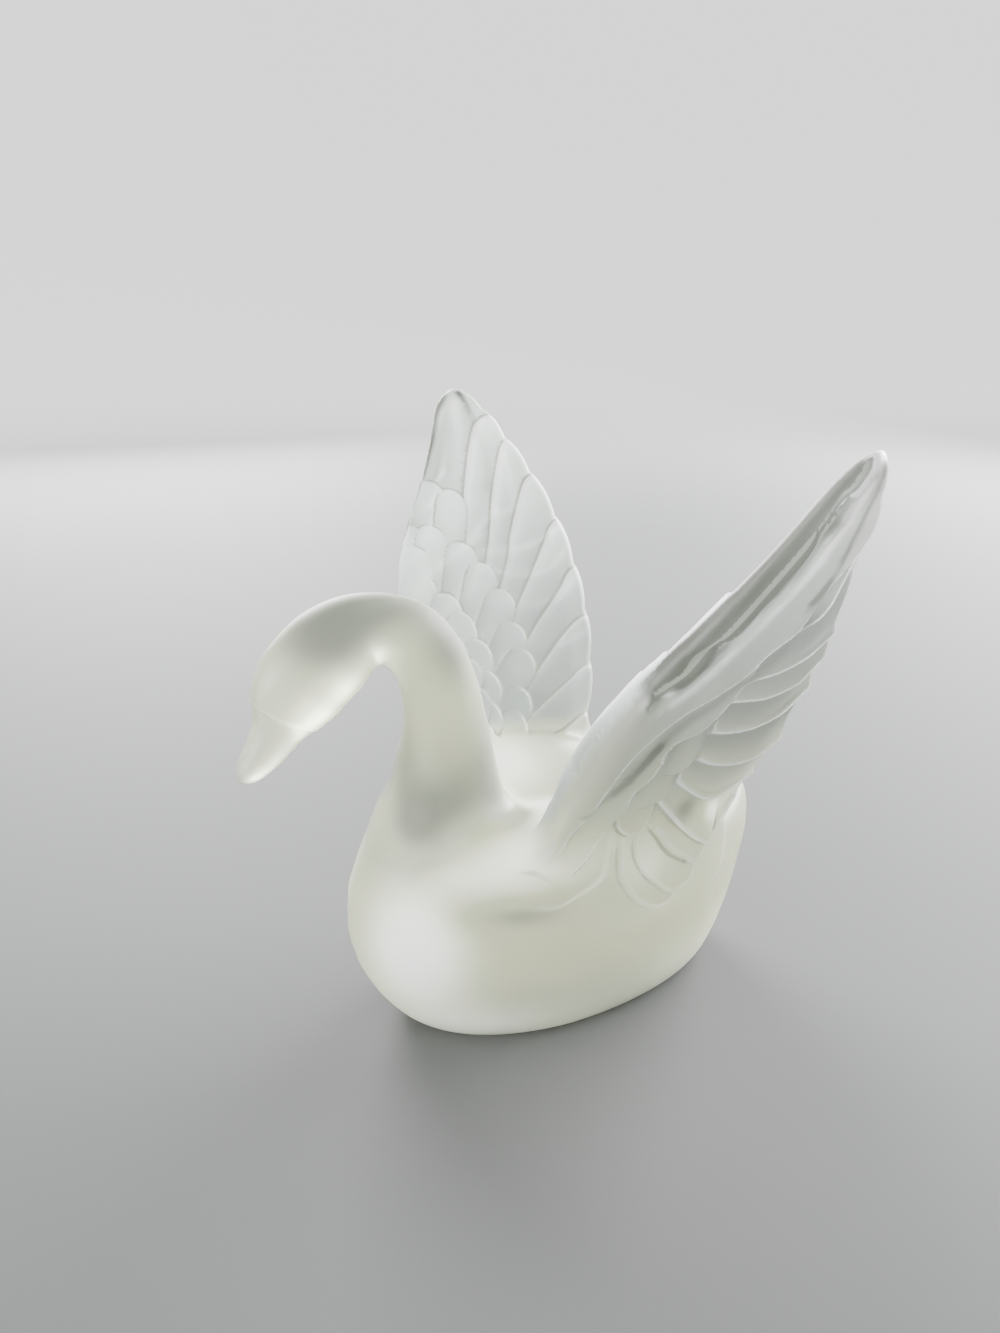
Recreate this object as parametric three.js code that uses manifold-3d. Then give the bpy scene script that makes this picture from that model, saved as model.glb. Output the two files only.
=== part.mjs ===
// A cast glass swan with raised wings, as one solid. Millimetres, +Z up.
// The swan looks along -Y and +X is its left side. Its flat foot lies on z = 0.
import * as THREE from "three";
import { mergeVertices } from "three/addons/utils/BufferGeometryUtils.js";
import Module from "manifold-3d";

const wasm = await Module();
wasm.setup();

// Driving dimensions: the body. Each row is one level of the egg-shaped hull:
// height, half width, reach of the breast and reach of the stern from x = 0, y = 0.
const HULL_LEVELS = [
  [0, 19.6, 33.8, 47.0],
  [1.2, 21.2, 35.4, 48.2],
  [5, 23.4, 37.8, 49.8],
  [11, 25.4, 40.8, 51.8],
  [18, 26.8, 43.6, 53.8],
  [25, 27.5, 45.0, 55.5],
  [32, 27.5, 44.8, 57.0],
  [38, 26.9, 42.9, 58.0],
];
const HULL_MIDDLE_Y = 4;
const SHOULDER_HEIGHT = 38;
// How far the rounded top edge draws in at the sides, and at the breast and the stern.
const SHOULDER_INSET = { side: 6, end: 12 };
const BACK_INSET = { side: 15, end: 20 };
// Height of the back along the body, from the breast to the stern.
const BACK_HEIGHT = [[-46, 50], [-20, 50], [0, 48.5], [20, 47], [36, 45.5], [50, 46.5], [60, 48.5]];
const BACK_CROWN = 0.006;

// Neck, head and bill: y, z and radius of the round section along the middle plane.
const NECK_STATIONS = [
  [-20.5, 28, 18.0],
  [-21.9, 39, 18.4],
  [-23.3, 47, 15.9],
  [-22.2, 53, 12.9],
  [-21.8, 60.7, 10.7],
  [-21.5, 66.2, 9.4],
  [-21.8, 72.3, 8.4],
  [-22.6, 77.4, 8.0],
  [-24.9, 84.4, 7.6],
  [-28.8, 89.8, 7.4],
  [-34.2, 92.5, 7.0],
  [-39.6, 92.7, 7.4],
  [-43.3, 91.0, 8.4],
  [-47.0, 88.0, 9.4],
  [-50.4, 84.8, 9.4],
  [-53.4, 80.8, 7.9],
  [-55.7, 76.7, 5.6],
  [-58.6, 72.4, 4.3],
  [-61.9, 68.6, 3.0],
  [-63.9, 66.6, 1.3],
];
// Side-to-side size of the section as a share of its height, along the neck from 0 to 1.
const NECK_SIDE_SHARE = [[0, 1], [0.2, 1], [0.45, 1], [0.62, 0.98], [0.72, 0.86], [0.8, 0.8],
  [0.86, 0.92], [0.93, 1.05], [1, 1.1]];

// Wings: each fans out from one point beside the back, and leans outward.
const FAN_CENTRE = { y: -17, z: 40 };
const WING_MIDDLE = { y: 20, z: 90 };
// Distance of the wing's middle sheet from x = 0, as a curved surface over y and z.
const WING_SHEET = {
  out: 47.35, lean: 0.5427, sweep: -0.1583, lift: 0.00036, twist: -0.00366, cup: -0.00114,
};
// Reach of the trailing edge from the fan centre at each angle above the level, degrees.
const TRAILING_REACH = [[-14, 40.5], [0, 43.2], [5.7, 44.6], [14.7, 48.8], [24.8, 56], [34, 63.5],
  [42.7, 71.2], [50.3, 78.4], [57, 84.8], [62.5, 90], [66, 93.4], [68.5, 95.6], [70.6, 96.5], [72.4, 95.9],
  [74, 94.4]];
// Angle of the leading edge at each distance from the fan centre.
const LEADING_ANGLE = [[8, 20], [15, 50], [22.6, 76], [31.3, 85.5], [41.9, 86.2], [49, 84.6], [56, 82.2],
  [60.7, 80.5], [66, 78.7], [72, 77], [82.6, 75.3], [93, 74.4], [98, 73.9]];
// Where the blade starts at the body and ends at the tip: reach along its leading edge, and
// angle of its trailing edge.
const BLADE_REACH = { root: 8, tip: 95.2 };
const BLADE_ANGLE = { root: -12, tip: 73.4 };
const WING_HALF_THICKNESS = { root: 3.7, tip: 1.25, rootReach: 26, tipReach: 88 };
// The blade rounds off towards its rim, over this width and down to this share of its thickness.
const WING_RIM_WIDTH = 5;
const WING_RIM_SHARE = 0.3;
// Sections of the blade from root to tip, and places across it from leading to trailing edge.
const BLADE_ROWS = [0, 0.07, 0.14, 0.22, 0.31, 0.41, 0.51, 0.61, 0.71, 0.8, 0.88, 0.94, 0.975, 1];
const BLADE_COLUMNS = [0, 0.05, 0.12, 0.24, 0.42, 0.6, 0.76, 0.88, 0.95, 1];

// Feathers: the angles where one flight feather ends and the next one begins.
const FLIGHT_EDGES = [68.5, 63.2, 57.7, 50.4, 43.0, 35.4, 26.2, 15.0];
const FLIGHT_LOW_EDGE = 4;
const FLIGHT_ROOT_SHARE = 0.5;
const FLIGHT_RISE = 0.75;
const FLIGHT_TIP_BULGE = 0.6;
const FLIGHT_OVERLAP_DEGREES = 0.6;
// The smooth arm along the leading edge, in front of the first flight feather.
const ARM_DEGREES = 3.2;
// Tips of the covert scales on the inner face: distance from the fan centre, angle.
const COVERT_ROWS = {
  outer: [[58.8, 67.5], [56, 61.6], [52.3, 54.4], [46.8, 47.4], [43, 40.6], [35.2, 33.3], [30.2, 27.7]],
  inner: [[48.8, 79.6], [45.5, 71.2], [42.4, 65.6], [37.9, 57.3], [32.5, 48.8], [26.7, 41.2]],
};
const COVERT_SIZE = { length: 12, halfWidth: 4.5, rise: 1.3 };
const INNER_COVERT_RISE = 1.8;
// Long coverts stacked along the leading edge on the inner face, by the reach of their tips.
const EDGE_COVERTS = [[71.7, 72.6], [60, 75.2]];
const EDGE_COVERT_SIZE = { length: 14, halfWidth: 3.8, rise: 1.0 };
const COVERT_EDGE_DROP = 0.3;

// Outer face: the long band behind the leading edge, as reach, rear angle and front angle.
const BAND_STATIONS = [[28, 60, 77], [40, 64, 80], [52, 66, 80], [62, 64.5, 78], [72, 61.8, 72.6],
  [83, 63.6, 72], [93, 67.5, 72.6]];
const BAND_RISE = 0.8;
// Lower edges of the trailing feathers on the outer face: start, middle and end, in y and z.
const TRAILING_FEATHERS = [
  [[14.5, 101.5], [22, 101], [28, 102.5]],
  [[11.2, 93.3], [20.7, 92.2], [29.4, 94]],
  [[9.2, 89.3], [20.2, 86.6], [30.6, 88.2]],
  [[7.2, 83.1], [19.3, 79.5], [31.8, 80]],
  [[5.8, 76.8], [17.8, 70.6], [31, 70]],
  [[4.6, 71], [13.8, 64], [27, 62.5]],
];
const TRAILING_WIDTH = 9.5;
const TRAILING_RISE = 0.85;
// Rounded feathers that lie down over the flank: root and tip in y and z, half width.
const FLANK_FEATHERS = [
  [[4, 44], [15, 30.4], 5.8],
  [[5.5, 50], [20, 34], 5.8],
  [[8, 55.5], [24, 41], 5.6],
  [[10.5, 60.5], [26, 48.5], 5.2],
];
const FLANK_RISE = 0.75;
const FLANK_ROOT_DEPTH = 1.6;
// Where a feather's tip starts to round off, as a share of its length, and the tip's blunt end.
const TIP_START = { covert: 0.62, trailing: 0.7, flank: 0.6 };
const TIP_BLUNTNESS = 0.07;
// Width at the root of the outer feathers, and the share of their length until they are full.
const FEATHER_ROOT = { width: 0.3, length: 0.4 };
// Width over which the wing passes into the flank, and how far feathers reach below the surface.
const SIDE_BLEND = 6;
const SINK = 2.4;
const GLASS_TINT = 0xe4e8dc;

/** A smooth curve through [x, value] pairs that keeps between neighbouring values. */
function profile(pairs) {
  const steps = pairs.slice(1).map(([x, v], i) => (v - pairs[i][1]) / (x - pairs[i][0]));
  const slopes = pairs.map((_, i) => {
    if (i === 0) return steps[0];
    if (i === pairs.length - 1) return steps[i - 1];
    const before = steps[i - 1];
    const after = steps[i];
    return before * after <= 0 ? 0 : (2 * before * after) / (before + after);
  });
  return (x) => {
    const last = pairs.length - 1;
    if (x <= pairs[0][0]) return pairs[0][1];
    if (x >= pairs[last][0]) return pairs[last][1];
    const i = pairs.findIndex(([edge]) => x < edge) - 1;
    const span = pairs[i + 1][0] - pairs[i][0];
    const t = (x - pairs[i][0]) / span;
    const rise = pairs[i + 1][1] - pairs[i][1];
    const shape = t * t * (3 - 2 * t);
    const ease = t * (1 - t) * span;
    return pairs[i][1] + rise * shape + ease * (slopes[i] * (1 - t) - slopes[i + 1] * t);
  };
}

const mix = (a, b, t) => a + (b - a) * t;
const backHeight = profile(BACK_HEIGHT);
const hull = {
  width: profile(HULL_LEVELS.map(([z, width]) => [z, width])),
  breast: profile(HULL_LEVELS.map(([z, , breast]) => [z, breast])),
  stern: profile(HULL_LEVELS.map(([z, , , stern]) => [z, stern])),
};
const trailingReach = profile(TRAILING_REACH);
const leadingAngle = profile(LEADING_ANGLE);

/** A closed geometry of positions and an index, as a manifold. */
function toManifold(geometry) {
  return new wasm.Manifold(new wasm.Mesh({
    numProp: 3,
    vertProperties: new Float32Array(geometry.attributes.position.array),
    triVerts: new Uint32Array(geometry.index.array),
  }));
}

/** A closed solid from points and triangles, as a manifold. */
function solid(points, triangles) {
  const geometry = new THREE.BufferGeometry().setFromPoints(points);
  geometry.setIndex(triangles.flat());
  return toManifold(mergeVertices(geometry, 1e-5));
}

/** A solid lofted through closed rings of equal length, with a fan over each end. */
function loft(rings, firstCentre, lastCentre) {
  const count = rings[0].length;
  const points = [...rings.flat(), firstCentre, lastCentre];
  const first = points.length - 2;
  const last = points.length - 1;
  const triangles = [];
  for (let ring = 0; ring < rings.length - 1; ring += 1) {
    for (let k = 0; k < count; k += 1) {
      const a = ring * count + k;
      const b = ring * count + ((k + 1) % count);
      triangles.push([a, b, b + count], [a, b + count, a + count]);
    }
  }
  const top = (rings.length - 1) * count;
  for (let k = 0; k < count; k += 1) {
    const next = (k + 1) % count;
    triangles.push([first, next, k], [last, top + k, top + next]);
  }
  return solid(points, triangles);
}

/** A solid between two sheets of points: rows of equal length, front sheet outward. */
function plate(front, back) {
  const rows = front.length;
  const columns = front[0].length;
  const points = [...front.flat(), ...back.flat()];
  const under = rows * columns;
  const at = (i, j) => i * columns + j;
  const triangles = [];
  for (let i = 0; i < rows - 1; i += 1) {
    for (let j = 0; j < columns - 1; j += 1) {
      const [a, b, c, d] = [at(i, j), at(i + 1, j), at(i + 1, j + 1), at(i, j + 1)];
      triangles.push([a, c, b], [a, d, c]);
      triangles.push([under + a, under + b, under + c], [under + a, under + c, under + d]);
    }
  }
  const rim = [];
  for (let j = 0; j < columns - 1; j += 1) rim.push(at(0, j));
  for (let i = 0; i < rows - 1; i += 1) rim.push(at(i, columns - 1));
  for (let j = columns - 1; j > 0; j -= 1) rim.push(at(rows - 1, j));
  for (let i = rows - 1; i > 0; i -= 1) rim.push(at(i, 0));
  rim.forEach((a, k) => {
    const b = rim[(k + 1) % rim.length];
    triangles.push([a, under + b, b], [a, under + a, under + b]);
  });
  return solid(points, triangles);
}

/** One egg-shaped outline of the hull, drawn in by `share` of an inset, at `height(x, y)`. */
function hullRing(level, share, height, inset = SHOULDER_INSET, sides = 40) {
  const width = hull.width(level) - share * inset.side;
  const breast = hull.breast(level) - share * inset.end + HULL_MIDDLE_Y;
  const stern = hull.stern(level) - share * inset.end - HULL_MIDDLE_Y;
  return Array.from({ length: sides }, (_, k) => {
    const angle = (2 * Math.PI * k) / sides;
    const across = width * Math.sin(angle);
    const along = Math.cos(angle) < 0 ? breast * Math.cos(angle) : stern * Math.cos(angle);
    const y = HULL_MIDDLE_Y + along;
    return new THREE.Vector3(-across, y, height(across, y));
  });
}

const backSurface = (x, y) => backHeight(y) - BACK_CROWN * x * x;

/** The hull: flat foot, swelling sides, rounded shoulder and a nearly level back. */
function makeHull() {
  const rings = HULL_LEVELS.map(([level]) => hullRing(level, 0, () => level));
  for (const degrees of [18, 36, 54, 72, 86]) {
    const turn = THREE.MathUtils.degToRad(degrees);
    const rise = Math.sin(turn);
    const height = (x, y) => mix(SHOULDER_HEIGHT, backSurface(x, y), rise);
    rings.push(hullRing(SHOULDER_HEIGHT, 1 - Math.cos(turn), height));
  }
  rings.push(hullRing(SHOULDER_HEIGHT, 1, backSurface, BACK_INSET));
  const foot = new THREE.Vector3(0, HULL_MIDDLE_Y, 0);
  const top = new THREE.Vector3(0, HULL_MIDDLE_Y, backSurface(0, HULL_MIDDLE_Y));
  return loft(rings, foot, top);
}

/** The neck, head and bill: oval sections along one curve in the middle plane. */
function makeNeck(sections = 32, sides = 18) {
  const curve = new THREE.CatmullRomCurve3(NECK_STATIONS.map(([y, z]) => new THREE.Vector3(0, y, z)));
  const radius = profile(NECK_STATIONS.map(([, , r], i) => [i / (NECK_STATIONS.length - 1), r]));
  const side = profile(NECK_SIDE_SHARE);
  const rings = Array.from({ length: sections }, (_, i) => {
    const t = i / (sections - 1);
    const centre = curve.getPoint(t);
    const along = curve.getTangent(t);
    const upright = new THREE.Vector3(0, -along.z, along.y);
    const r = radius(t);
    return Array.from({ length: sides }, (_, k) => {
      const angle = (2 * Math.PI * k) / sides;
      const across = r * side(t) * Math.sin(angle);
      return centre.clone().addScaledVector(upright, r * Math.cos(angle)).setX(across);
    });
  });
  return loft(rings, curve.getPoint(0), curve.getPoint(1));
}

/** Point of a wing's middle sheet over y and z, and the sheet's outward normal. */
function sheetAt(y, z) {
  const dy = y - WING_MIDDLE.y;
  const dz = z - WING_MIDDLE.z;
  const { out, lean, sweep, lift, twist, cup } = WING_SHEET;
  const x = out + lean * dz + sweep * dy + lift * dz * dz + twist * dy * dz + cup * dy * dy;
  const slopeY = sweep + twist * dz + 2 * cup * dy;
  const slopeZ = lean + 2 * lift * dz + twist * dy;
  return { point: new THREE.Vector3(x, y, z), normal: new THREE.Vector3(1, -slopeY, -slopeZ).normalize() };
}

/** y and z of a point given by its distance and angle from the fan centre. */
function fan(reach, degrees) {
  const angle = THREE.MathUtils.degToRad(degrees);
  return [FAN_CENTRE.y + reach * Math.cos(angle), FAN_CENTRE.z + reach * Math.sin(angle)];
}

/** Half of the wing's thickness at a place on it. */
function halfThickness(y, z) {
  const reach = Math.hypot(y - FAN_CENTRE.y, z - FAN_CENTRE.z);
  const { root, tip, rootReach, tipReach } = WING_HALF_THICKNESS;
  const t = THREE.MathUtils.smoothstep(reach, rootReach, tipReach);
  return mix(root, tip, t);
}

/** A point on one face of the wing (face 1 outer, -1 inner), raised by `rise`. */
function onFace(y, z, face, rise) {
  const { point, normal } = sheetAt(y, z);
  return point.addScaledVector(normal, face * (halfThickness(y, z) + rise));
}

/** Half width of the hull at a height and a place along it, 0 beyond its ends. */
function flankAt(y, z) {
  const along = y - HULL_MIDDLE_Y;
  const level = THREE.MathUtils.clamp(z, 0, SHOULDER_HEIGHT);
  const reach = along < 0 ? hull.breast(level) + HULL_MIDDLE_Y : hull.stern(level) - HULL_MIDDLE_Y;
  return hull.width(level) * Math.sqrt(Math.max(0, 1 - (along / reach) ** 2));
}

/** A point on the outside of the wing or of the flank under it, passing softly between them. */
function onSide(y, z, rise) {
  const { point, normal } = sheetAt(y, z);
  const wing = point.x + halfThickness(y, z) / normal.x;
  const flank = flankAt(y, z);
  const overlap = Math.max(SIDE_BLEND - Math.abs(wing - flank), 0) / SIDE_BLEND;
  const x = Math.max(wing, flank) + overlap * overlap * SIDE_BLEND * 0.25;
  return new THREE.Vector3(x + rise, y, z);
}

/** The plain blade of a wing: sections from the leading to the trailing edge, root to tip. */
function makeBlade() {
  const sheets = [1, -1].map((face) => BLADE_ROWS.map((v) => {
    const reach = mix(BLADE_REACH.root, BLADE_REACH.tip, v);
    const low = mix(BLADE_ANGLE.root, BLADE_ANGLE.tip, v);
    const leading = new THREE.Vector2(...fan(reach, leadingAngle(reach)));
    const trailing = new THREE.Vector2(...fan(trailingReach(low), low));
    const chord = leading.distanceTo(trailing);
    return BLADE_COLUMNS.map((u) => {
      const { x: y, y: z } = leading.clone().lerp(trailing, u);
      const inFromRim = Math.min(1, (chord * Math.min(u, 1 - u)) / WING_RIM_WIDTH);
      const share = mix(WING_RIM_SHARE, 1, Math.sqrt(inFromRim * (2 - inFromRim)));
      return onFace(y, z, face, -(1 - share) * halfThickness(y, z));
    });
  }));
  return plate(sheets[0], sheets[1]);
}

/** Share of a feather's width left at `t` along it, where its tip rounds off from `start`. */
function roundedTip(t, start) {
  const past = Math.max(0, (t - start) / (1 - start));
  return Math.sqrt(Math.max(TIP_BLUNTNESS, 1 - past * past));
}

/** The same for a feather of the outer face, which also narrows towards its root. */
function taperedWidth(t, start) {
  return roundedTip(t, start) * mix(FEATHER_ROOT.width, 1, Math.min(1, t / FEATHER_ROOT.length));
}

/** A feather as a plate over the wing: `place(t, s)` gives y, z; `rise(t, s)` its height. */
function makeFeather(place, rise, surface, lengthwise, crosswise, flip) {
  const sheet = (sink) => lengthwise.map((t) => crosswise.map((s) => {
    const [y, z] = place(t, s);
    return surface(y, z, sink ? -SINK : rise(t, s));
  }));
  return flip ? plate(sheet(true), sheet(false)) : plate(sheet(false), sheet(true));
}

const innerFace = (y, z, rise) => onFace(y, z, -1, rise);
const outerFace = (y, z, rise) => onFace(y, z, 1, rise);

/** Flight feathers on the inner face: each one stands over the feather above it. */
function makeFlightFeathers() {
  return FLIGHT_EDGES.concat(FLIGHT_LOW_EDGE).map((low, i) => {
    const lowEnd = trailingReach(low);
    const place = (t, s) => {
      const borderOfArm = leadingAngle(mix(FLIGHT_ROOT_SHARE * lowEnd, lowEnd, t)) - ARM_DEGREES;
      const high = i === 0 ? borderOfArm : FLIGHT_EDGES[i - 1];
      const angle = mix(low - FLIGHT_OVERLAP_DEGREES, high, (s + 1) / 2);
      const end = trailingReach(angle) + FLIGHT_TIP_BULGE * (1 - s * s);
      return fan(mix(FLIGHT_ROOT_SHARE * end, end, t), angle);
    };
    const rise = (t, s) => FLIGHT_RISE * mix(0, 1, (s + 1) / 2);
    return makeFeather(place, rise, innerFace, [0, 0.55, 1], [-1, 0, 0.65, 1], false);
  });
}

/** A short feather with a round tip that points away from the fan centre. */
function makeScale([reach, angle], { length, halfWidth, rise }) {
  const place = (t, s) => {
    const width = halfWidth * roundedTip(t, TIP_START.covert);
    return fan(reach - length * (1 - t), angle + THREE.MathUtils.radToDeg((s * width) / reach));
  };
  const height = (t, s) => rise * mix(0.4, 1, t) - COVERT_EDGE_DROP * s * s;
  return makeFeather(place, height, innerFace, [0, 0.6, 0.86, 1], [-1, 0, 1], false);
}

/** The raised band of long feathers along the outer face. */
function makeBand() {
  const rear = profile(BAND_STATIONS.map(([reach, low]) => [reach, low]));
  const front = profile(BAND_STATIONS.map(([reach, , high]) => [reach, high]));
  const start = BAND_STATIONS[0][0];
  const end = BAND_STATIONS[BAND_STATIONS.length - 1][0];
  const place = (t, s) => {
    const reach = mix(start, end, t);
    return fan(reach, mix(rear(reach), front(reach), (s + 1) / 2));
  };
  const rise = (t, s) => BAND_RISE * (1 - 0.5 * s * s) * mix(1, 0.6, t);
  const lengthwise = Array.from({ length: 7 }, (_, i) => i / 6);
  return makeFeather(place, rise, outerFace, lengthwise, [-1, 0, 1], true);
}

/** Trailing feathers of the outer face: each lower edge stands over the next feather. */
function makeTrailingFeathers() {
  return TRAILING_FEATHERS.map(([start, middle, end]) => {
    const [from, through, to] = [start, middle, end].map(([y, z]) => new THREE.Vector2(y, z));
    const bend = through.multiplyScalar(2).sub(from.clone().add(to).multiplyScalar(0.5));
    const lowerEdge = new THREE.QuadraticBezierCurve(from, bend, to);
    const place = (t, s) => {
      const { x: y, y: z } = lowerEdge.getPoint(t);
      const width = TRAILING_WIDTH * taperedWidth(t, TIP_START.trailing);
      return [y, z + ((s + 1) / 2) * width];
    };
    const rise = (t, s) => TRAILING_RISE * mix(1, 0, (s + 1) / 2);
    return makeFeather(place, rise, onSide, [0, 0.4, 0.75, 0.92, 1], [-1, 0, 1], true);
  });
}

/** Rounded feathers that lie down over the flank below the wing. */
function makeFlankFeathers() {
  return FLANK_FEATHERS.map(([root, tip, halfWidth]) => {
    const along = new THREE.Vector2(tip[0] - root[0], tip[1] - root[1]);
    const across = new THREE.Vector2(-along.y, along.x).normalize();
    const place = (t, s) => {
      const width = halfWidth * taperedWidth(t, TIP_START.flank);
      return [root[0] + along.x * t + across.x * s * width, root[1] + along.y * t + across.y * s * width];
    };
    const rise = (t, s) => mix(-FLANK_ROOT_DEPTH, FLANK_RISE * (1 - 0.35 * s * s), Math.sqrt(t));
    return makeFeather(place, rise, onSide, [0, 0.4, 0.7, 0.88, 1], [-1, -0.5, 0, 0.5, 1], true);
  });
}

/** One wing with its feathers, on the left side. */
function makeWing() {
  const scales = [
    ...EDGE_COVERTS.map((tip) => makeScale(tip, EDGE_COVERT_SIZE)),
    ...COVERT_ROWS.outer.map((tip) => makeScale(tip, COVERT_SIZE)),
    ...COVERT_ROWS.inner.map((tip) => makeScale(tip, { ...COVERT_SIZE, rise: INNER_COVERT_RISE })),
  ];
  const feathers = [
    ...makeFlightFeathers(),
    ...scales,
    makeBand(),
    ...makeTrailingFeathers(),
    ...makeFlankFeathers(),
  ];
  return feathers.reduce((wing, feather) => wing.add(feather), makeBlade());
}

/** A manifold as a three.js geometry, centred over the origin with its foot on z = 0. */
function toGeometry(manifold) {
  const mesh = manifold.getMesh();
  const geometry = new THREE.BufferGeometry();
  geometry.setAttribute("position", new THREE.BufferAttribute(new Float32Array(mesh.vertProperties), 3));
  geometry.setIndex(new THREE.BufferAttribute(new Uint32Array(mesh.triVerts), 1));
  geometry.computeBoundingBox();
  const centre = geometry.boundingBox.getCenter(new THREE.Vector3());
  geometry.translate(-centre.x, -centre.y, -geometry.boundingBox.min.z);
  geometry.computeVertexNormals();
  return geometry;
}

const leftWing = makeWing();
const swan = makeHull().add(makeNeck()).add(leftWing).add(leftWing.mirror([1, 0, 0]));

const glass = new THREE.MeshStandardMaterial({ color: GLASS_TINT, roughness: 0.45, metalness: 0 });
const figurine = new THREE.Group();
const body = new THREE.Mesh(toGeometry(swan), glass);
body.name = "swan";
figurine.add(body);

export default figurine;
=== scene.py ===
"""A cast swan of satin-frosted glass, sculpted from named sizes and lit in a plain studio.

The swan looks along -Y, +X is its left side and +Z is up. Its forms are measured in
millimetres around the same middle point as the solid, and become metres at the end.
"""

import logging
import math
from dataclasses import dataclass, field
from enum import Enum
from typing import Callable, Sequence

import bpy
import numpy as np
from mathutils import Matrix, Vector


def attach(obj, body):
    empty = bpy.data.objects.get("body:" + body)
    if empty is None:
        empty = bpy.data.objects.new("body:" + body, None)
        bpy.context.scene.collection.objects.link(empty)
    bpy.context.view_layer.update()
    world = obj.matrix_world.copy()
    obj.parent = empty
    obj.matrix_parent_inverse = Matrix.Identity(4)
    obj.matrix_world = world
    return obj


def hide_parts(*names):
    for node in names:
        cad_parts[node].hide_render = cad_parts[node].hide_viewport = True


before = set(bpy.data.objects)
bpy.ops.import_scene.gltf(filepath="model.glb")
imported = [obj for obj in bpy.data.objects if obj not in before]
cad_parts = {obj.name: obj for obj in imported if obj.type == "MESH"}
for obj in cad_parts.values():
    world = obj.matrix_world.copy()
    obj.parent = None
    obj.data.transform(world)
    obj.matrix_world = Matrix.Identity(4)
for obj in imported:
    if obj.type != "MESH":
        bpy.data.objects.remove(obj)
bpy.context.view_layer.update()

LOG = logging.getLogger("swan")
MM = 0.001
# The solid's box is centred over the origin, 3.41 mm in front of the point its sizes start from.
MODEL_SHIFT_Y = 3.41
# Keeps roots and quotients away from 0.
TINY = 1e-9
TINY_SLOPE = 1e-12

Array = np.ndarray
Pair = tuple[float, float]
Triple = tuple[float, float, float]


def smoothstep(low: float | Array, high: float | Array, value: Array) -> Array:
    """Ease from 0 to 1.

    Args:
        low: Value where the result starts to rise.
        high: Value where the result reaches 1.
        value: The values to ease.

    Returns:
        The eased share, 0 to 1, for each value.
    """
    t = np.clip((value - low) / (high - low), 0.0, 1.0)
    return t * t * (3.0 - 2.0 * t)


def mix(first: float | Array, second: float | Array, share: float | Array) -> Array:
    """Blend two values.

    Args:
        first: Result where share is 0.
        second: Result where share is 1.
        share: How far to go from first to second.

    Returns:
        The blended values.
    """
    return first + (second - first) * share


def smooth_min(first: Array, second: Array, width: float | Array) -> Array:
    """Join two solids with a fillet.

    Args:
        first: Distance to the first solid, negative inside.
        second: Distance to the second solid.
        width: How wide the fillet reaches, in millimetres.

    Returns:
        Distance to the joined solid.
    """
    overlap = np.clip(width - np.abs(first - second), 0.0, None) / width
    return np.minimum(first, second) - overlap * overlap * width * 0.25


def smooth_max(first: Array, second: Array, width: float | Array) -> Array:
    """Keep what two solids share, with a rounded edge between them.

    Args:
        first: Distance to the first solid, negative inside.
        second: Distance to the second solid.
        width: How wide the rounding reaches, in millimetres.

    Returns:
        Distance to the shared solid.
    """
    return -smooth_min(-first, -second, width)


class Profile:
    """A smooth curve through (place, value) pairs that keeps between neighbouring values."""

    def __init__(self, pairs: Sequence[Pair]) -> None:
        """Work out the slopes.

        Args:
            pairs: Places in rising order, each with its value.
        """
        self.places = np.array([place for place, _ in pairs])
        self.values = np.array([value for _, value in pairs])
        steps = np.diff(self.values) / np.diff(self.places)
        slopes = np.zeros(len(pairs))
        slopes[0] = steps[0]
        slopes[-1] = steps[-1]
        before, after = steps[:-1], steps[1:]
        turning = before * after <= 0.0
        total = np.where(turning, 1.0, before + after)
        slopes[1:-1] = np.where(turning, 0.0, 2.0 * before * after / total)
        self.slopes = slopes

    def __call__(self, place: Array | float) -> Array:
        """Read the curve.

        Args:
            place: Where to read it; beyond the ends the end values hold.

        Returns:
            The values there.
        """
        x = np.clip(place, self.places[0], self.places[-1])
        i = np.clip(np.searchsorted(self.places, x, side="right") - 1, 0, len(self.places) - 2)
        span = self.places[i + 1] - self.places[i]
        t = (x - self.places[i]) / span
        rise = self.values[i + 1] - self.values[i]
        ease = t * (1.0 - t) * span
        turn = self.slopes[i] * (1.0 - t) - self.slopes[i + 1] * t
        return self.values[i] + rise * t * t * (3.0 - 2.0 * t) + ease * turn


def rounded_path(points: Sequence[Pair], steps: int = 4) -> Array:
    """Pass a smooth curve through points.

    Args:
        points: Two or more points in a plane.
        steps: Pieces to put between each two points.

    Returns:
        The points of the curve, one row each.
    """
    given = np.array(points, dtype=float)
    padded = np.vstack([2 * given[0] - given[1], given, 2 * given[-1] - given[-2]])
    rows = [given[:1]]
    for i in range(1, len(given)):
        a, b, c, d = padded[i - 1], padded[i], padded[i + 1], padded[i + 2]
        t = (np.arange(1, steps + 1) / steps)[:, None]
        rows.append(0.5 * (2 * b + (c - a) * t + (2 * a - 5 * b + 4 * c - d) * t**2
                           + (3 * b - a - 3 * c + d) * t**3))
    return np.vstack(rows)


def run_on(path: Array, head: float = 0.0, tail: float = 0.0) -> Array:
    """Lengthen a curve straight on beyond its ends.

    Args:
        path: Points of the curve.
        head: How far before the first point, in lengths of the first piece.
        tail: How far past the last point, in lengths of the last piece.

    Returns:
        The points of the longer curve.
    """
    rows = [path]
    if head:
        rows.insert(0, path[0] - (path[1] - path[0]) * head)
    if tail:
        rows.append(path[-1] + (path[-1] - path[-2]) * tail)
    return np.vstack(rows)


def hump(value: Array, middle: float, half: float) -> Array:
    """Shape a rounded ridge.

    Args:
        value: Where each place lies across the ridge.
        middle: Where its top lies.
        half: Half of its width.

    Returns:
        1 on the top, falling to 0 on both sides.
    """
    return np.exp(-(((value - middle) / half) ** 2))


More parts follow.
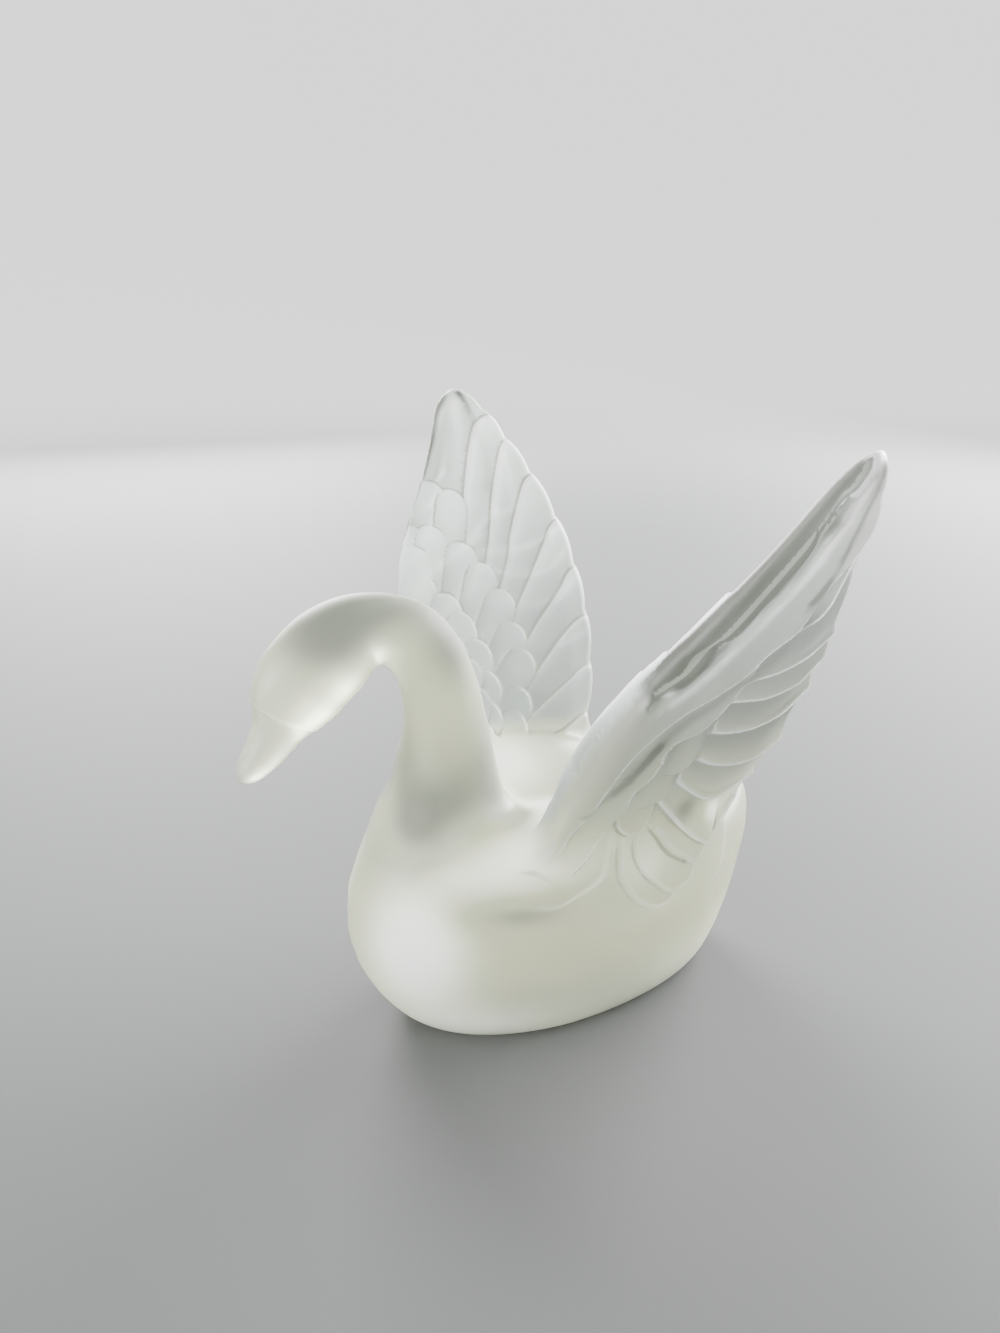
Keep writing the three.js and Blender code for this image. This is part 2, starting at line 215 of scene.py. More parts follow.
def distance_to_path(path: Array, y: Array, z: Array) -> tuple[Array, Array]:
    """Measure the distance from places to a curve.

    Args:
        path: Points of the curve.
        y: First coordinate of the places.
        z: Second coordinate of the places.

    Returns:
        The distance, and +1 on the left of the curve's run or -1 on its right.
    """
    best = np.full(np.shape(y), np.inf)
    side = np.ones(np.shape(y))
    for (ay, az), (by, bz) in zip(path[:-1], path[1:]):
        dy, dz = by - ay, bz - az
        py, pz = y - ay, z - az
        t = np.clip((py * dy + pz * dz) / (dy * dy + dz * dz), 0.0, 1.0)
        gap = np.hypot(py - t * dy, pz - t * dz)
        nearer = gap < best
        best = np.where(nearer, gap, best)
        side = np.where(nearer, np.where(dy * pz - dz * py >= 0.0, 1.0, -1.0), side)
    return best, side


def soften(values: Array, rounds: int = 3) -> Array:
    """Even out small kinks between neighbouring values.

    Args:
        values: Values over an even grid.
        rounds: How often to average neighbours.

    Returns:
        The softened values; those on the border stay.
    """
    soft = values.copy()
    for _ in range(rounds):
        soft[1:-1] = 0.25 * soft[:-2] + 0.5 * soft[1:-1] + 0.25 * soft[2:]
        soft[:, 1:-1] = 0.25 * soft[:, :-2] + 0.5 * soft[:, 1:-1] + 0.25 * soft[:, 2:]
    return soft


class Chart:
    """Heights over a flat rectangle of y and z, built up in layers and read back smoothly."""

    # How far short of the chart's end it is read at most, in steps.
    end_gap: float = 1.001

    def __init__(self, low: Pair, high: Pair, step: float) -> None:
        """Lay out an empty chart.

        Args:
            low: Lowest y and z.
            high: Highest y and z.
            step: Distance between its places.
        """
        self.low = low
        self.step = step
        count_y = int(math.ceil((high[0] - low[0]) / step)) + 1
        count_z = int(math.ceil((high[1] - low[1]) / step)) + 1
        self.y, self.z = np.meshgrid(
            low[0] + step * np.arange(count_y), low[1] + step * np.arange(count_z), indexing="ij"
        )
        self.heights = np.zeros_like(self.y)

    def lay(self, inside: Array, height: Array | float, edge: float) -> None:
        """Put a layer over what is there.

        Args:
            inside: Distance inside the layer's outline, negative outside it.
            height: Height of the layer's surface.
            edge: Half width of the step at its outline.
        """
        cover = smoothstep(-edge, edge, inside)
        self.heights = mix(self.heights, height, cover)

    def read(self, y: Array, z: Array, values: Array | None = None) -> Array:
        """Read heights between the chart's places.

        Args:
            y: First coordinate.
            z: Second coordinate.
            values: Other values over the same places, or None for the heights.

        Returns:
            The heights; beyond the chart its border holds.
        """
        table = self.heights if values is None else values
        u = np.clip((y - self.low[0]) / self.step, 0.0, table.shape[0] - self.end_gap)
        v = np.clip((z - self.low[1]) / self.step, 0.0, table.shape[1] - self.end_gap)
        i, j = u.astype(np.int32), v.astype(np.int32)
        s, t = u - i, v - j
        near = mix(table[i, j], table[i + 1, j], s)
        far = mix(table[i, j + 1], table[i + 1, j + 1], s)
        return mix(near, far, t)


@dataclass(frozen=True)
class HullSizes:
    """Sizes of the body in millimetres."""

    # Height, half width, reach of the breast and reach of the stern from the middle point.
    levels: tuple[tuple[float, float, float, float], ...] = (
        (0, 19.6, 31.0, 47.0), (1.2, 21.2, 33.0, 48.2), (5, 23.4, 36.6, 49.8), (11, 25.4, 40.5, 51.8),
        (18, 26.8, 43.4, 53.8), (25, 27.5, 44.6, 55.5), (32, 27.5, 44.1, 57.0), (38, 26.9, 41.7, 58.0),
        (46, 26.4, 37.5, 59.0),
    )
    middle_y: float = 4.0
    # Height of the back along the middle, how it falls off sideways, and the rounding of its edge.
    back: tuple[Pair, ...] = (
        (-46, 50), (-20, 50), (0, 48.5), (20, 47), (36, 45.5), (50, 46.5), (60, 48.5)
    )
    crown: float = 0.006
    shoulder: float = 13.0
    # The swelling on each side of the back that carries a wing: middle and half sizes.
    swelling_middle: Triple = (18.5, 1.0, 43.0)
    swelling_size: Triple = (10.5, 27.0, 10.5)
    swelling_blend: float = 10.0


class Hull:
    """The boat-shaped body: flat foot, swelling sides and a nearly level back."""

    def __init__(self, sizes: HullSizes) -> None:
        """Prepare the curves.

        Args:
            sizes: The body's sizes.
        """
        self.sizes = sizes
        self.width = Profile([(z, width) for z, width, _, _ in sizes.levels])
        self.breast = Profile([(z, breast) for z, _, breast, _ in sizes.levels])
        self.stern = Profile([(z, stern) for z, _, _, stern in sizes.levels])
        self.back = Profile(sizes.back)

    def distance(self, x: Array, y: Array, z: Array) -> Array:
        """Measure the distance to the body.

        Args:
            x: Distance from the middle plane.
            y: Place along the body.
            z: Height.

        Returns:
            Distance in millimetres, negative inside.
        """
        width = self.width(z)
        along = y - self.sizes.middle_y
        reach = np.where(
            along < 0.0, self.breast(z) + self.sizes.middle_y, self.stern(z) - self.sizes.middle_y
        )
        share = np.sqrt((x / width) ** 2 + (along / reach) ** 2 + TINY)
        slope = np.sqrt((x / width**2) ** 2 + (along / reach**2) ** 2 + TINY_SLOPE) / share
        wall = (share - 1.0) / slope
        top = z - self.back(y) + self.sizes.crown * x * x
        trunk = smooth_max(wall, top, self.sizes.shoulder)
        middle, size = self.sizes.swelling_middle, self.sizes.swelling_size
        parts = [(v - m) / half for v, m, half in zip((x, y, z), middle, size)]
        share = np.sqrt(sum(part * part for part in parts) + TINY)
        steep = np.sqrt(sum((part / half) ** 2 for part, half in zip(parts, size)) + TINY_SLOPE) / share
        return smooth_min(trunk, (share - 1.0) / steep, self.sizes.swelling_blend)


@dataclass(frozen=True)
class NeckSizes:
    """Sizes of the neck, head and bill in millimetres."""

    # y, z and radius of the section along the middle plane, from the breast to the bill's tip.
    stations: tuple[Triple, ...] = (
        (-20.5, 28, 17.0), (-21.5, 39, 16.6), (-22.4, 47, 14.6), (-22.0, 53, 12.5), (-21.8, 60.7, 10.6),
        (-21.5, 66.2, 9.4), (-21.8, 72.3, 8.4), (-22.6, 77.4, 8.0), (-24.9, 84.4, 7.6), (-28.8, 89.8, 7.4),
        (-34.2, 92.5, 7.0), (-39.6, 92.7, 7.4), (-43.3, 91.0, 8.4), (-47.0, 88.0, 9.4), (-50.4, 84.8, 9.4),
        (-53.4, 80.8, 7.9), (-55.7, 76.7, 5.6), (-58.6, 72.4, 4.3), (-61.9, 68.6, 3.0), (-63.9, 66.6, 1.3),
    )
    # Side-to-side size of the section as a share of its height, from the breast to the bill.
    side_share: tuple[Pair, ...] = (
        (0, 1), (0.2, 1), (0.45, 1), (0.62, 0.98), (0.72, 0.86), (0.8, 0.8), (0.86, 0.92), (0.93, 1.05),
        (1, 1.1),
    )
    path_steps: int = 8
    # The side view on which the nearest section is charted: lowest and highest y and z, and its step.
    chart_low: Pair = (-76.0, -4.0)
    chart_high: Pair = (12.0, 112.0)
    chart_step: float = 0.5
    # Widths of the fillet at the breast and behind the neck, and the y between which it changes.
    blend_front: float = 7.0
    blend_back: float = 5.0
    blend_change: Pair = (-26.0, -10.0)
    # The bill starts at a low step: a place on it, its direction, height, length, the y between which
    # it sets in on the cheek, and half the width of its edge.
    bill_root: Pair = (-56.0, 78.3)
    bill_way: Pair = (-0.533, -0.846)
    bill_step: float = 0.4
    bill_length: float = 7.0
    bill_front: Pair = (-47.0, -51.0)
    bill_edge: float = 0.4


class Neck:
    """The curved neck with the head and the bill, round sections along one curve."""

    def __init__(self, sizes: NeckSizes) -> None:
        """Chart the nearest section for every place of the middle plane.

        Args:
            sizes: The neck's sizes.
        """
        self.sizes = sizes
        path = rounded_path([(y, z) for y, z, _ in sizes.stations], sizes.path_steps)
        places = np.arange(len(path)) / (len(path) - 1)
        radius = Profile([(i / (len(sizes.stations) - 1), r) for i, (_, _, r) in enumerate(sizes.stations)])
        radii = radius(places)
        sides = Profile(sizes.side_share)(places)
        self.chart = Chart(sizes.chart_low, sizes.chart_high, sizes.chart_step)
        y, z = self.chart.y, self.chart.z
        best = np.full(y.shape, np.inf)
        gaps = np.zeros(y.shape)
        widths = np.ones(y.shape)
        shares = np.ones(y.shape)
        for i in range(len(path) - 1):
            (ay, az), (by, bz) = path[i], path[i + 1]
            dy, dz = by - ay, bz - az
            t = np.clip(((y - ay) * dy + (z - az) * dz) / (dy * dy + dz * dz), 0.0, 1.0)
            gap = np.hypot(y - ay - t * dy, z - az - t * dz)
            r = mix(radii[i], radii[i + 1], t)
            nearer = gap - r < best
            best = np.where(nearer, gap - r, best)
            gaps = np.where(nearer, gap, gaps)
            widths = np.where(nearer, r, widths)
            shares = np.where(nearer, mix(sides[i], sides[i + 1], t), shares)
        self.gaps, self.widths, self.shares = soften(gaps), soften(widths), soften(shares)

    def distance(self, x: Array, y: Array, z: Array) -> Array:
        """Measure the distance to the neck, head and bill.

        Args:
            x: Distance from the middle plane.
            y: Place along the body.
            z: Height.

        Returns:
            Distance in millimetres, negative inside.
        """
        gap = self.chart.read(y, z, self.gaps)
        radius = self.chart.read(y, z, self.widths)
        side = self.chart.read(y, z, self.shares)
        share = np.sqrt((x / (radius * side)) ** 2 + (gap / radius) ** 2 + TINY)
        sizes = self.sizes
        past = (y - sizes.bill_root[0]) * sizes.bill_way[0] + (z - sizes.bill_root[1]) * sizes.bill_way[1]
        step = smoothstep(-sizes.bill_edge, sizes.bill_edge, past)
        step = step * np.exp(-np.clip(past, 0.0, None) / sizes.bill_length)
        step = step * smoothstep(*sizes.bill_front, y)
        return (share - 1.0) * radius + sizes.bill_step * step

    def blend(self, y: Array) -> Array:
        """Tell how widely the neck runs into the body.

        Args:
            y: Place along the body.

        Returns:
            Width of the fillet: wide at the breast, tight behind the neck.
        """
        sizes = self.sizes
        return mix(sizes.blend_front, sizes.blend_back, smoothstep(*sizes.blend_change, y))


@dataclass(frozen=True)
class Sheet:
    """The curved middle sheet of a wing: its distance from x = 0 over y and z."""

    # y and z of the place it is measured from, and its distance from the middle plane there.
    middle: Pair = (20.0, 90.0)
    out: float = 47.35
    # How it leans out upwards and draws in backwards, and how it bends upwards, twists and cups.
    lean: float = 0.5427
    sweep: float = -0.1583
    lift: float = 0.00036
    twist: float = -0.00366
    cup: float = -0.00114
    # How far from the sheet its slope is followed.
    follow: float = 8.0

    def foot(self, x: Array, y: Array, z: Array) -> tuple[Array, Array, Array]:
        """Find the nearest place of the sheet.

        Args:
            x: Distance from the middle plane.
            y: Place along the body.
            z: Height.

        Returns:
            Distance from the sheet, positive outward, and the place's y and z.
        """
        dy, dz = y - self.middle[0], z - self.middle[1]
        at = self.out + self.lean * dz + self.sweep * dy
        at = at + self.lift * dz * dz + self.twist * dy * dz + self.cup * dy * dy
        slope_y = self.sweep + self.twist * dz + 2.0 * self.cup * dy
        slope_z = self.lean + 2.0 * self.lift * dz + self.twist * dy
        norm = np.sqrt(1.0 + slope_y**2 + slope_z**2)
        away = (x - at) / norm
        near = np.clip(away, -self.follow, self.follow)
        return away, y + near * slope_y / norm, z + near * slope_z / norm


@dataclass(frozen=True)
class WingSizes:
    """Sizes of a wing in millimetres and degrees."""

    fan_centre: Pair = (-17.0, 40.0)
    # Reach of the trailing edge from the fan centre, by angle above the level.
    trailing: tuple[Pair, ...] = (
        (-14, 40.5), (0, 43.2), (5.7, 44.6), (14.7, 48.8), (24.8, 56), (34, 63.5), (42.7, 71.2),
        (50.3, 78.4), (57, 84.8), (62.5, 90), (66, 93.8), (69, 96.6), (71.5, 97.4), (76, 97),
    )
    # Angle of the leading edge, by distance from the fan centre.
    leading: tuple[Pair, ...] = (
        (8, 72), (15, 76), (22.6, 81), (31.3, 85.5), (41.9, 86.2), (49, 84.6), (56, 82.2), (60.7, 80.5),
        (66, 78.7), (72, 77), (82.6, 75.3), (93, 74.4), (98, 73.9),
    )
    # Half thickness at the root and the tip, and the reaches between which it changes.
    half_root: float = 3.7
    half_tip: float = 1.3
    root_reach: float = 26.0
    tip_reach: float = 88.0
    # The outer face comes in towards the root: share of the thickness left, between two heights.
    flush_share: float = 0.3
    flush_low: float = 44.0
    flush_high: float = 76.0
    # The trailing edge is thinner, over this width.
    rim_share: float = 0.62
    rim_width: float = 9.0
    # The blade's lowest angle about the fan centre.
    low_angle: float = -15.0
    # Below this height the blade ends, inside the body.
    low_end: float = 30.0
    low_end_round: float = 3.0
    # Rounding of the tip's corner and of the blade's edges.
    tip_round: float = 6.0
    edge_round: float = 2.0
    # The trailing edge swells at each feather's tip: by how much, and its first and last angle.
    scallop: float = 1.0
    scallop_first: float = 74.0
    scallop_last: float = -8.0
    # Share of a step in reach that counts across the slanting trailing edge.
    trailing_slant: float = 0.86
    # Nearer to the fan centre than this, angles count as at this reach.
    least_reach: float = 6.0
    # Small steps where feathers overlap at the leading edge: reach of their tips, height, length, and
    # half width of their ends as a share of the length.
    edge_steps: tuple[float, ...] = (72.0, 63.2, 57.2)
    edge_step: float = 0.3
    edge_step_length: float = 9.0
    edge_step_edge: float = 0.1
    # Relief fades out towards the leading and the trailing edge, on the outer face only in part.
    calm_front: Pair = (0.0, 3.0)
    calm_behind: Pair = (-0.4, 2.0)
    calm_outer_share: float = 0.3
    # Half widths of the change from one face to the other: of its relief, as a share of the half
    # thickness, of its thickness, of its finish, and of its joint with the body, in millimetres.
    relief_turn: float = 0.6
    flush_turn: float = 1.0
    face_turn: float = 0.5
    joint_turn: float = 5.0
    # Depths below the outer face over which each painted stripe of shade and highlight ends.
    stripe_depths: Pair = (-1.6, -0.9)
    # The blade sinks into the body around the fan centre: how deep, and between which reaches.
    root_sink: float = 8.0
    sink_near: float = 3.0
    sink_far: float = 12.0
    # Reaches between which the outer relief sets in.
    relief_near: float = 11.0
    relief_far: float = 17.0
    # Fillets with the body: wide outside, narrow inside and near the fan centre.
    blend_outside: float = 18.0
    blend_inside: float = 2.5
    blend_centre: float = 3.0
    blend_near: float = 5.0
    blend_far: float = 20.0


@dataclass(frozen=True)
class Edge:
    """One edge of the relief: its course, its rise, and how the rise falls off behind it."""

    points: tuple[Pair, ...]
    rise: float
    far_share: float = 1.0
    fall: float = 6.0
    step: float = 0.35


@dataclass(frozen=True)
class PaintedStripe:
    """A painted stripe of shade or highlight along the outer face."""

    points: tuple[Pair, ...]
    half_width: float
    tone: float


@dataclass(frozen=True)
class FeatherSizes:
    """Places and heights of the feathers, in millimetres and degrees around the fan centre."""

    step: float = 0.25
    edge: float = 0.36
    # Lowest and highest y and z of the charts of a wing's faces and of the flank.
    wing_chart: tuple[Pair, Pair] = ((-36.0, 24.0), (60.0, 142.0))
    flank_chart: tuple[Pair, Pair] = ((-24.0, 14.0), (44.0, 66.0))
    # Height of the bare inner face over the blade, and of the lowest part of each feather.
    inner_base: float = 0.15
    flight_base: float = 0.12
    outer_base: float = 0.1
    # Upper edge of each flight feather on the inner face: reach and angle, from root to tip.
    flight_edges: tuple[tuple[Pair, ...], ...] = (
        ((60.3, 68.3), (74.1, 68.6), (86.5, 68.5), (91.5, 67.4), (94.6, 65.2)),
        ((56.5, 61.3), (73.6, 63.1), (84.6, 63.5), (88.3, 63.1), (91.2, 61.6)),
        ((54.9, 56.1), (67.0, 57.6), (78.5, 58.2), (82.5, 57.8), (85.4, 56.2)),
        ((56.6, 50.1), (68.0, 50.5), (74.5, 50.8), (78.9, 49.6)),
        ((46.4, 43.2), (62.0, 42.9), (67.5, 43.3), (71.9, 42.0)),
        ((41.3, 35.2), (52.2, 35.8), (59.5, 35.6), (64.2, 33.8)),
        ((36.7, 26.1), (46.6, 26.3), (52.5, 26.4), (57.2, 24.4)),
        ((30.1, 15.1), (38.4, 14.4), (45.5, 15.6), (50.2, 14.0)),
    )
    # Height of an edge, and the width over which the feather falls off behind it.
    flight_rise: float = 1.05
    flight_fall: float = 5.5
    # The step of a flight feather is low near the root and full towards the tip.
    flight_low_share: float = 0.45
    flight_rise_reach: Pair = (0.55, 0.9)
    # Each edge starts at this share of its first reach and runs on beyond its tip.
    flight_start: float = 0.3
    flight_run_on: float = 6.0
    # A thin bead follows each edge: its height, its distance from the edge and its half width.
    flight_bead: float = 0.15
    flight_bead_place: Pair = (0.8, 0.7)
    # Tips of the scales on the inner face, row by row from the flight feathers to the root.
    scale_rows: tuple[tuple[Pair, ...], ...] = (
        ((71.6, 75.6), (70.9, 71.0)),
        ((60.2, 81.0), (60.6, 75.6), (58.8, 67.5), (56.0, 61.6), (52.3, 54.4), (46.8, 47.4), (43.0, 40.6),
         (35.2, 33.3), (30.2, 27.7)),
        ((55.0, 80.4), (48.8, 79.6), (45.5, 71.2), (42.4, 65.6), (37.9, 57.3), (32.5, 48.8), (26.7, 41.2),
         (21.3, 29.1)),
        ((39.8, 79.0), (36.3, 68.0), (32.6, 59.5), (27.6, 51.0), (21.8, 40.0)),
        ((31.0, 76.0), (27.6, 64.0), (23.4, 53.0)),
        ((21.0, 72.0), (18.5, 50.0)),
    )
    scale_half_width: float = 4.4
    scale_length: float = 18.0
    scale_round: float = 4.6
    # Height at the tip, the share of it at the hidden end, and the lift of each further row.
    scale_rise: float = 1.05
    scale_low_share: float = 0.45
    scale_row_lift: float = 0.25
    # How much lower a short feather lies at its sides than along its middle.
    crown: float = 0.55
    # Lower edges of the trailing feathers on the outer face, from the lowest to the highest.
    outer_edges: tuple[tuple[Pair, ...], ...] = (
        ((6.8, 63.8), (11.9, 58.4), (18.0, 53.0), (23.3, 49.6), (26.0, 51.5)),
        ((7.3, 70.4), (12.6, 65.7), (17.8, 61.5), (22.0, 59.6), (25.3, 60.4)),
        ((7.9, 76.6), (14.4, 72.7), (21.1, 70.1), (26.3, 69.5), (29.8, 70.4)),
        ((7.6, 83.1), (12.0, 81.4), (18.0, 79.9), (23.4, 79.7), (28.4, 80.8), (31.8, 82.8)),
        ((9.1, 89.5), (14.1, 88.2), (20.2, 87.0), (27.5, 87.7), (31.2, 90.0)),
        ((9.2, 92.1), (11.6, 93.3), (17.5, 92.9), (22.1, 93.3), (25.7, 94.2), (29.0, 95.7)),
        ((12.0, 100.0), (17.6, 102.0), (22.1, 103.3), (23.9, 106.0), (23.6, 110.7)),
    )
    # Height, falling off, running on at both ends, and bead, as on the inner face.
    outer_rise: float = 1.15
    outer_fall: float = 3.6
    outer_run_on: float = 8.0
    outer_bead: float = 0.35
    outer_bead_place: Pair = (0.7, 0.6)
    # Coverts of the outer face: root, tip and half width.
    outer_coverts: tuple[tuple[Pair, Pair, float], ...] = (
        ((-0.5, 70.0), (4.4, 57.2), 4.0),
        ((1.0, 78.5), (4.2, 64.6), 4.2),
        ((3.8, 87.5), (5.4, 73.8), 4.4),
    )
    outer_covert_rise: float = 1.2
    outer_covert_low_share: float = 0.6
    outer_covert_slope: float = 12.0
    # Length of a covert's rounded end, as a share of its half width.
    outer_covert_round: float = 1.1
    strip_edge: Edge = Edge(
        points=((31.0, 131.0), (20.4, 113.5), (18.4, 107.2), (16.9, 102.2), (12.6, 99.6), (10.8, 93.8),
                (8.6, 87.5), (5.6, 84.0), (2.2, 83.4), (-0.4, 82.2), (-0.8, 79.6), (-0.2, 77.2), (-0.9, 73.9),
                (-2.6, 71.6), (-2.3, 69.0), (-1.8, 65.5), (-4.0, 59.0), (-8.0, 50.0)),
        rise=1.25, far_share=0.6, fall=5.0,
    )
    band_edge: Edge = Edge(
        points=((31.0, 131.0), (20.4, 113.5), (18.8, 110.5), (18.4, 107.2), (16.6, 102.2), (11.6, 99.0),
                (8.6, 95.6), (4.0, 93.2), (-3.0, 90.2), (-7.2, 86.0), (-9.3, 82.0), (-10.4, 76.2),
                (-10.8, 70.7), (-11.1, 66.2), (-11.6, 60.0), (-13.0, 50.0)),
        rise=1.7, far_share=0.75, fall=5.0,
    )
    # The groove in front of the band, from the tip to the root.
    groove: tuple[Pair, ...] = (
        (9.6, 126.5), (9.2, 124.5), (8.5, 121.8), (8.3, 118.9), (7.6, 115.2), (6.4, 111.6), (4.3, 109.9),
        (2.2, 105.5), (-1.8, 103.1), (-5.4, 100.9), (-7.8, 99.0), (-9.0, 96.1), (-9.8, 93.0),
    )
    groove_depth: float = 1.2
    groove_width: float = 0.9
    # The bevel along the leading edge: width, depth and the reaches between which it widens.
    bevel_width: float = 2.6
    bevel_depth: float = 1.3
    bevel_reach: Pair = (52.0, 66.0)
    # Feathers that lie down over the flank, seen from the side, the lowest first.
    flank_edges: tuple[Edge, ...] = (
        Edge(
            points=((-20.0, 40.6), (-13.2, 38.8), (-9.1, 39.4), (-6.7, 40.8), (-4.2, 43.0), (-2.4, 45.2),
                    (-1.6, 47.5), (-1.2, 52.0)),
            rise=0.55, far_share=0.0, fall=7.0, step=1.0,
        ),
        Edge(
            points=((1.4, 48.0), (1.6, 46.2), (2.3, 43.8), (4.7, 40.0), (7.2, 36.7), (10.6, 33.9),
                    (13.5, 32.5), (16.3, 32.5), (18.0, 34.4), (19.6, 37.0)),
            rise=0.65, far_share=0.2, fall=2.4, step=0.8,
        ),
        Edge(
            points=((4.3, 53.8), (4.4, 51.4), (5.4, 48.0), (7.6, 44.0), (10.8, 40.5), (13.1, 38.2),
                    (16.2, 36.0), (19.4, 36.2), (22.0, 37.6), (22.6, 42.0)),
            rise=0.75, far_share=0.35, fall=3.0, step=0.7,
        ),
        Edge(
            points=((8.3, 54.0), (9.9, 52.1), (12.1, 49.0), (14.9, 46.0), (18.6, 43.4), (21.6, 42.4),
                    (23.6, 43.8), (24.6, 48.9)),
            rise=0.95, far_share=0.5, fall=3.5, step=0.55,
        ),
    )
    # The dark groove under the highest of them.
    flank_groove: tuple[Pair, ...] = ((8.3, 54.0), (9.9, 52.1), (12.1, 49.0), (14.9, 46.0), (18.6, 43.4))
    flank_groove_depth: float = 0.6
    flank_run_on: float = 30.0
    flank_bead: float = 0.18
    flank_bead_place: Pair = (1.2, 1.0)
    # They fade out upwards between two heights and forwards between two places.
    flank_fade: Pair = (59.0, 49.0)
    flank_front: Pair = (-22.0, -12.0)
    # Each stripe along the outer face is painted shade below 0 and painted highlight above 0.
    stripes: tuple[PaintedStripe, ...] = (
        PaintedStripe(((-9.5, 95.5), (-7.9, 98.4), (-4.6, 104.0), (-2.1, 108.2), (0.1, 111.3), (2.5, 116.4),
                (4.7, 121.4), (6.6, 126.1), (9.8, 130.4)), 2.0, -0.8),
        PaintedStripe(((-6.5, 98.5), (-3.7, 101.4), (-1.4, 104.9), (1.3, 109.1), (3.3, 112.4), (5.1, 115.7),
                (6.9, 119.4), (9.7, 123.0)), 1.7, -1.0),
        PaintedStripe(((-7.0, 94.8), (-2.6, 97.8), (1.2, 102.9), (4.5, 107.0), (7.6, 111.1), (10.3, 115.3),
                (11.3, 121.4), (12.4, 128.5)), 1.5, 0.9),
        PaintedStripe(((15.9, 108.5), (17.4, 112.0), (17.5, 116.3), (16.5, 122.2), (15.2, 128.0), (14.1, 130.9)),
               1.0, -1.0),
        PaintedStripe(((-7.4, 73.2), (-4.8, 81.9), (-0.8, 87.3), (4.6, 90.3), (9.6, 94.1), (17.5, 97.4),
                (19.1, 103.8), (18.1, 109.1)), 2.4, -0.6),
        PaintedStripe(((-12.1, 67.7), (-9.1, 72.3), (-5.7, 76.9), (-3.3, 83.3)), 0.9, -0.8),
    )


def feather_shape(
    chart: Chart, root: Pair, tip: Pair, half_width: float, round_length: float
) -> tuple[Array, Array, Array]:
    """Measure a round-tipped feather over a chart.

    Args:
        chart: The chart it lies on.
        root: y and z of its root.
        tip: y and z of its tip.
        half_width: Half of its width.
        round_length: Length of its rounded end.

    Returns:
        Distance inside its outline, distance behind its tip and distance across it.
    """
    along = np.array(tip) - np.array(root)
    length = float(np.hypot(*along))
    along = along / length
    y, z = chart.y - tip[0], chart.z - tip[1]
    behind = -(y * along[0] + z * along[1])
    across = y * along[1] - z * along[0]
    past = np.clip(round_length - behind, 0.0, None) / round_length
    inside = (1.0 - np.sqrt((across / half_width) ** 2 + past**2)) * half_width
    return np.minimum(inside, length - behind), behind, across


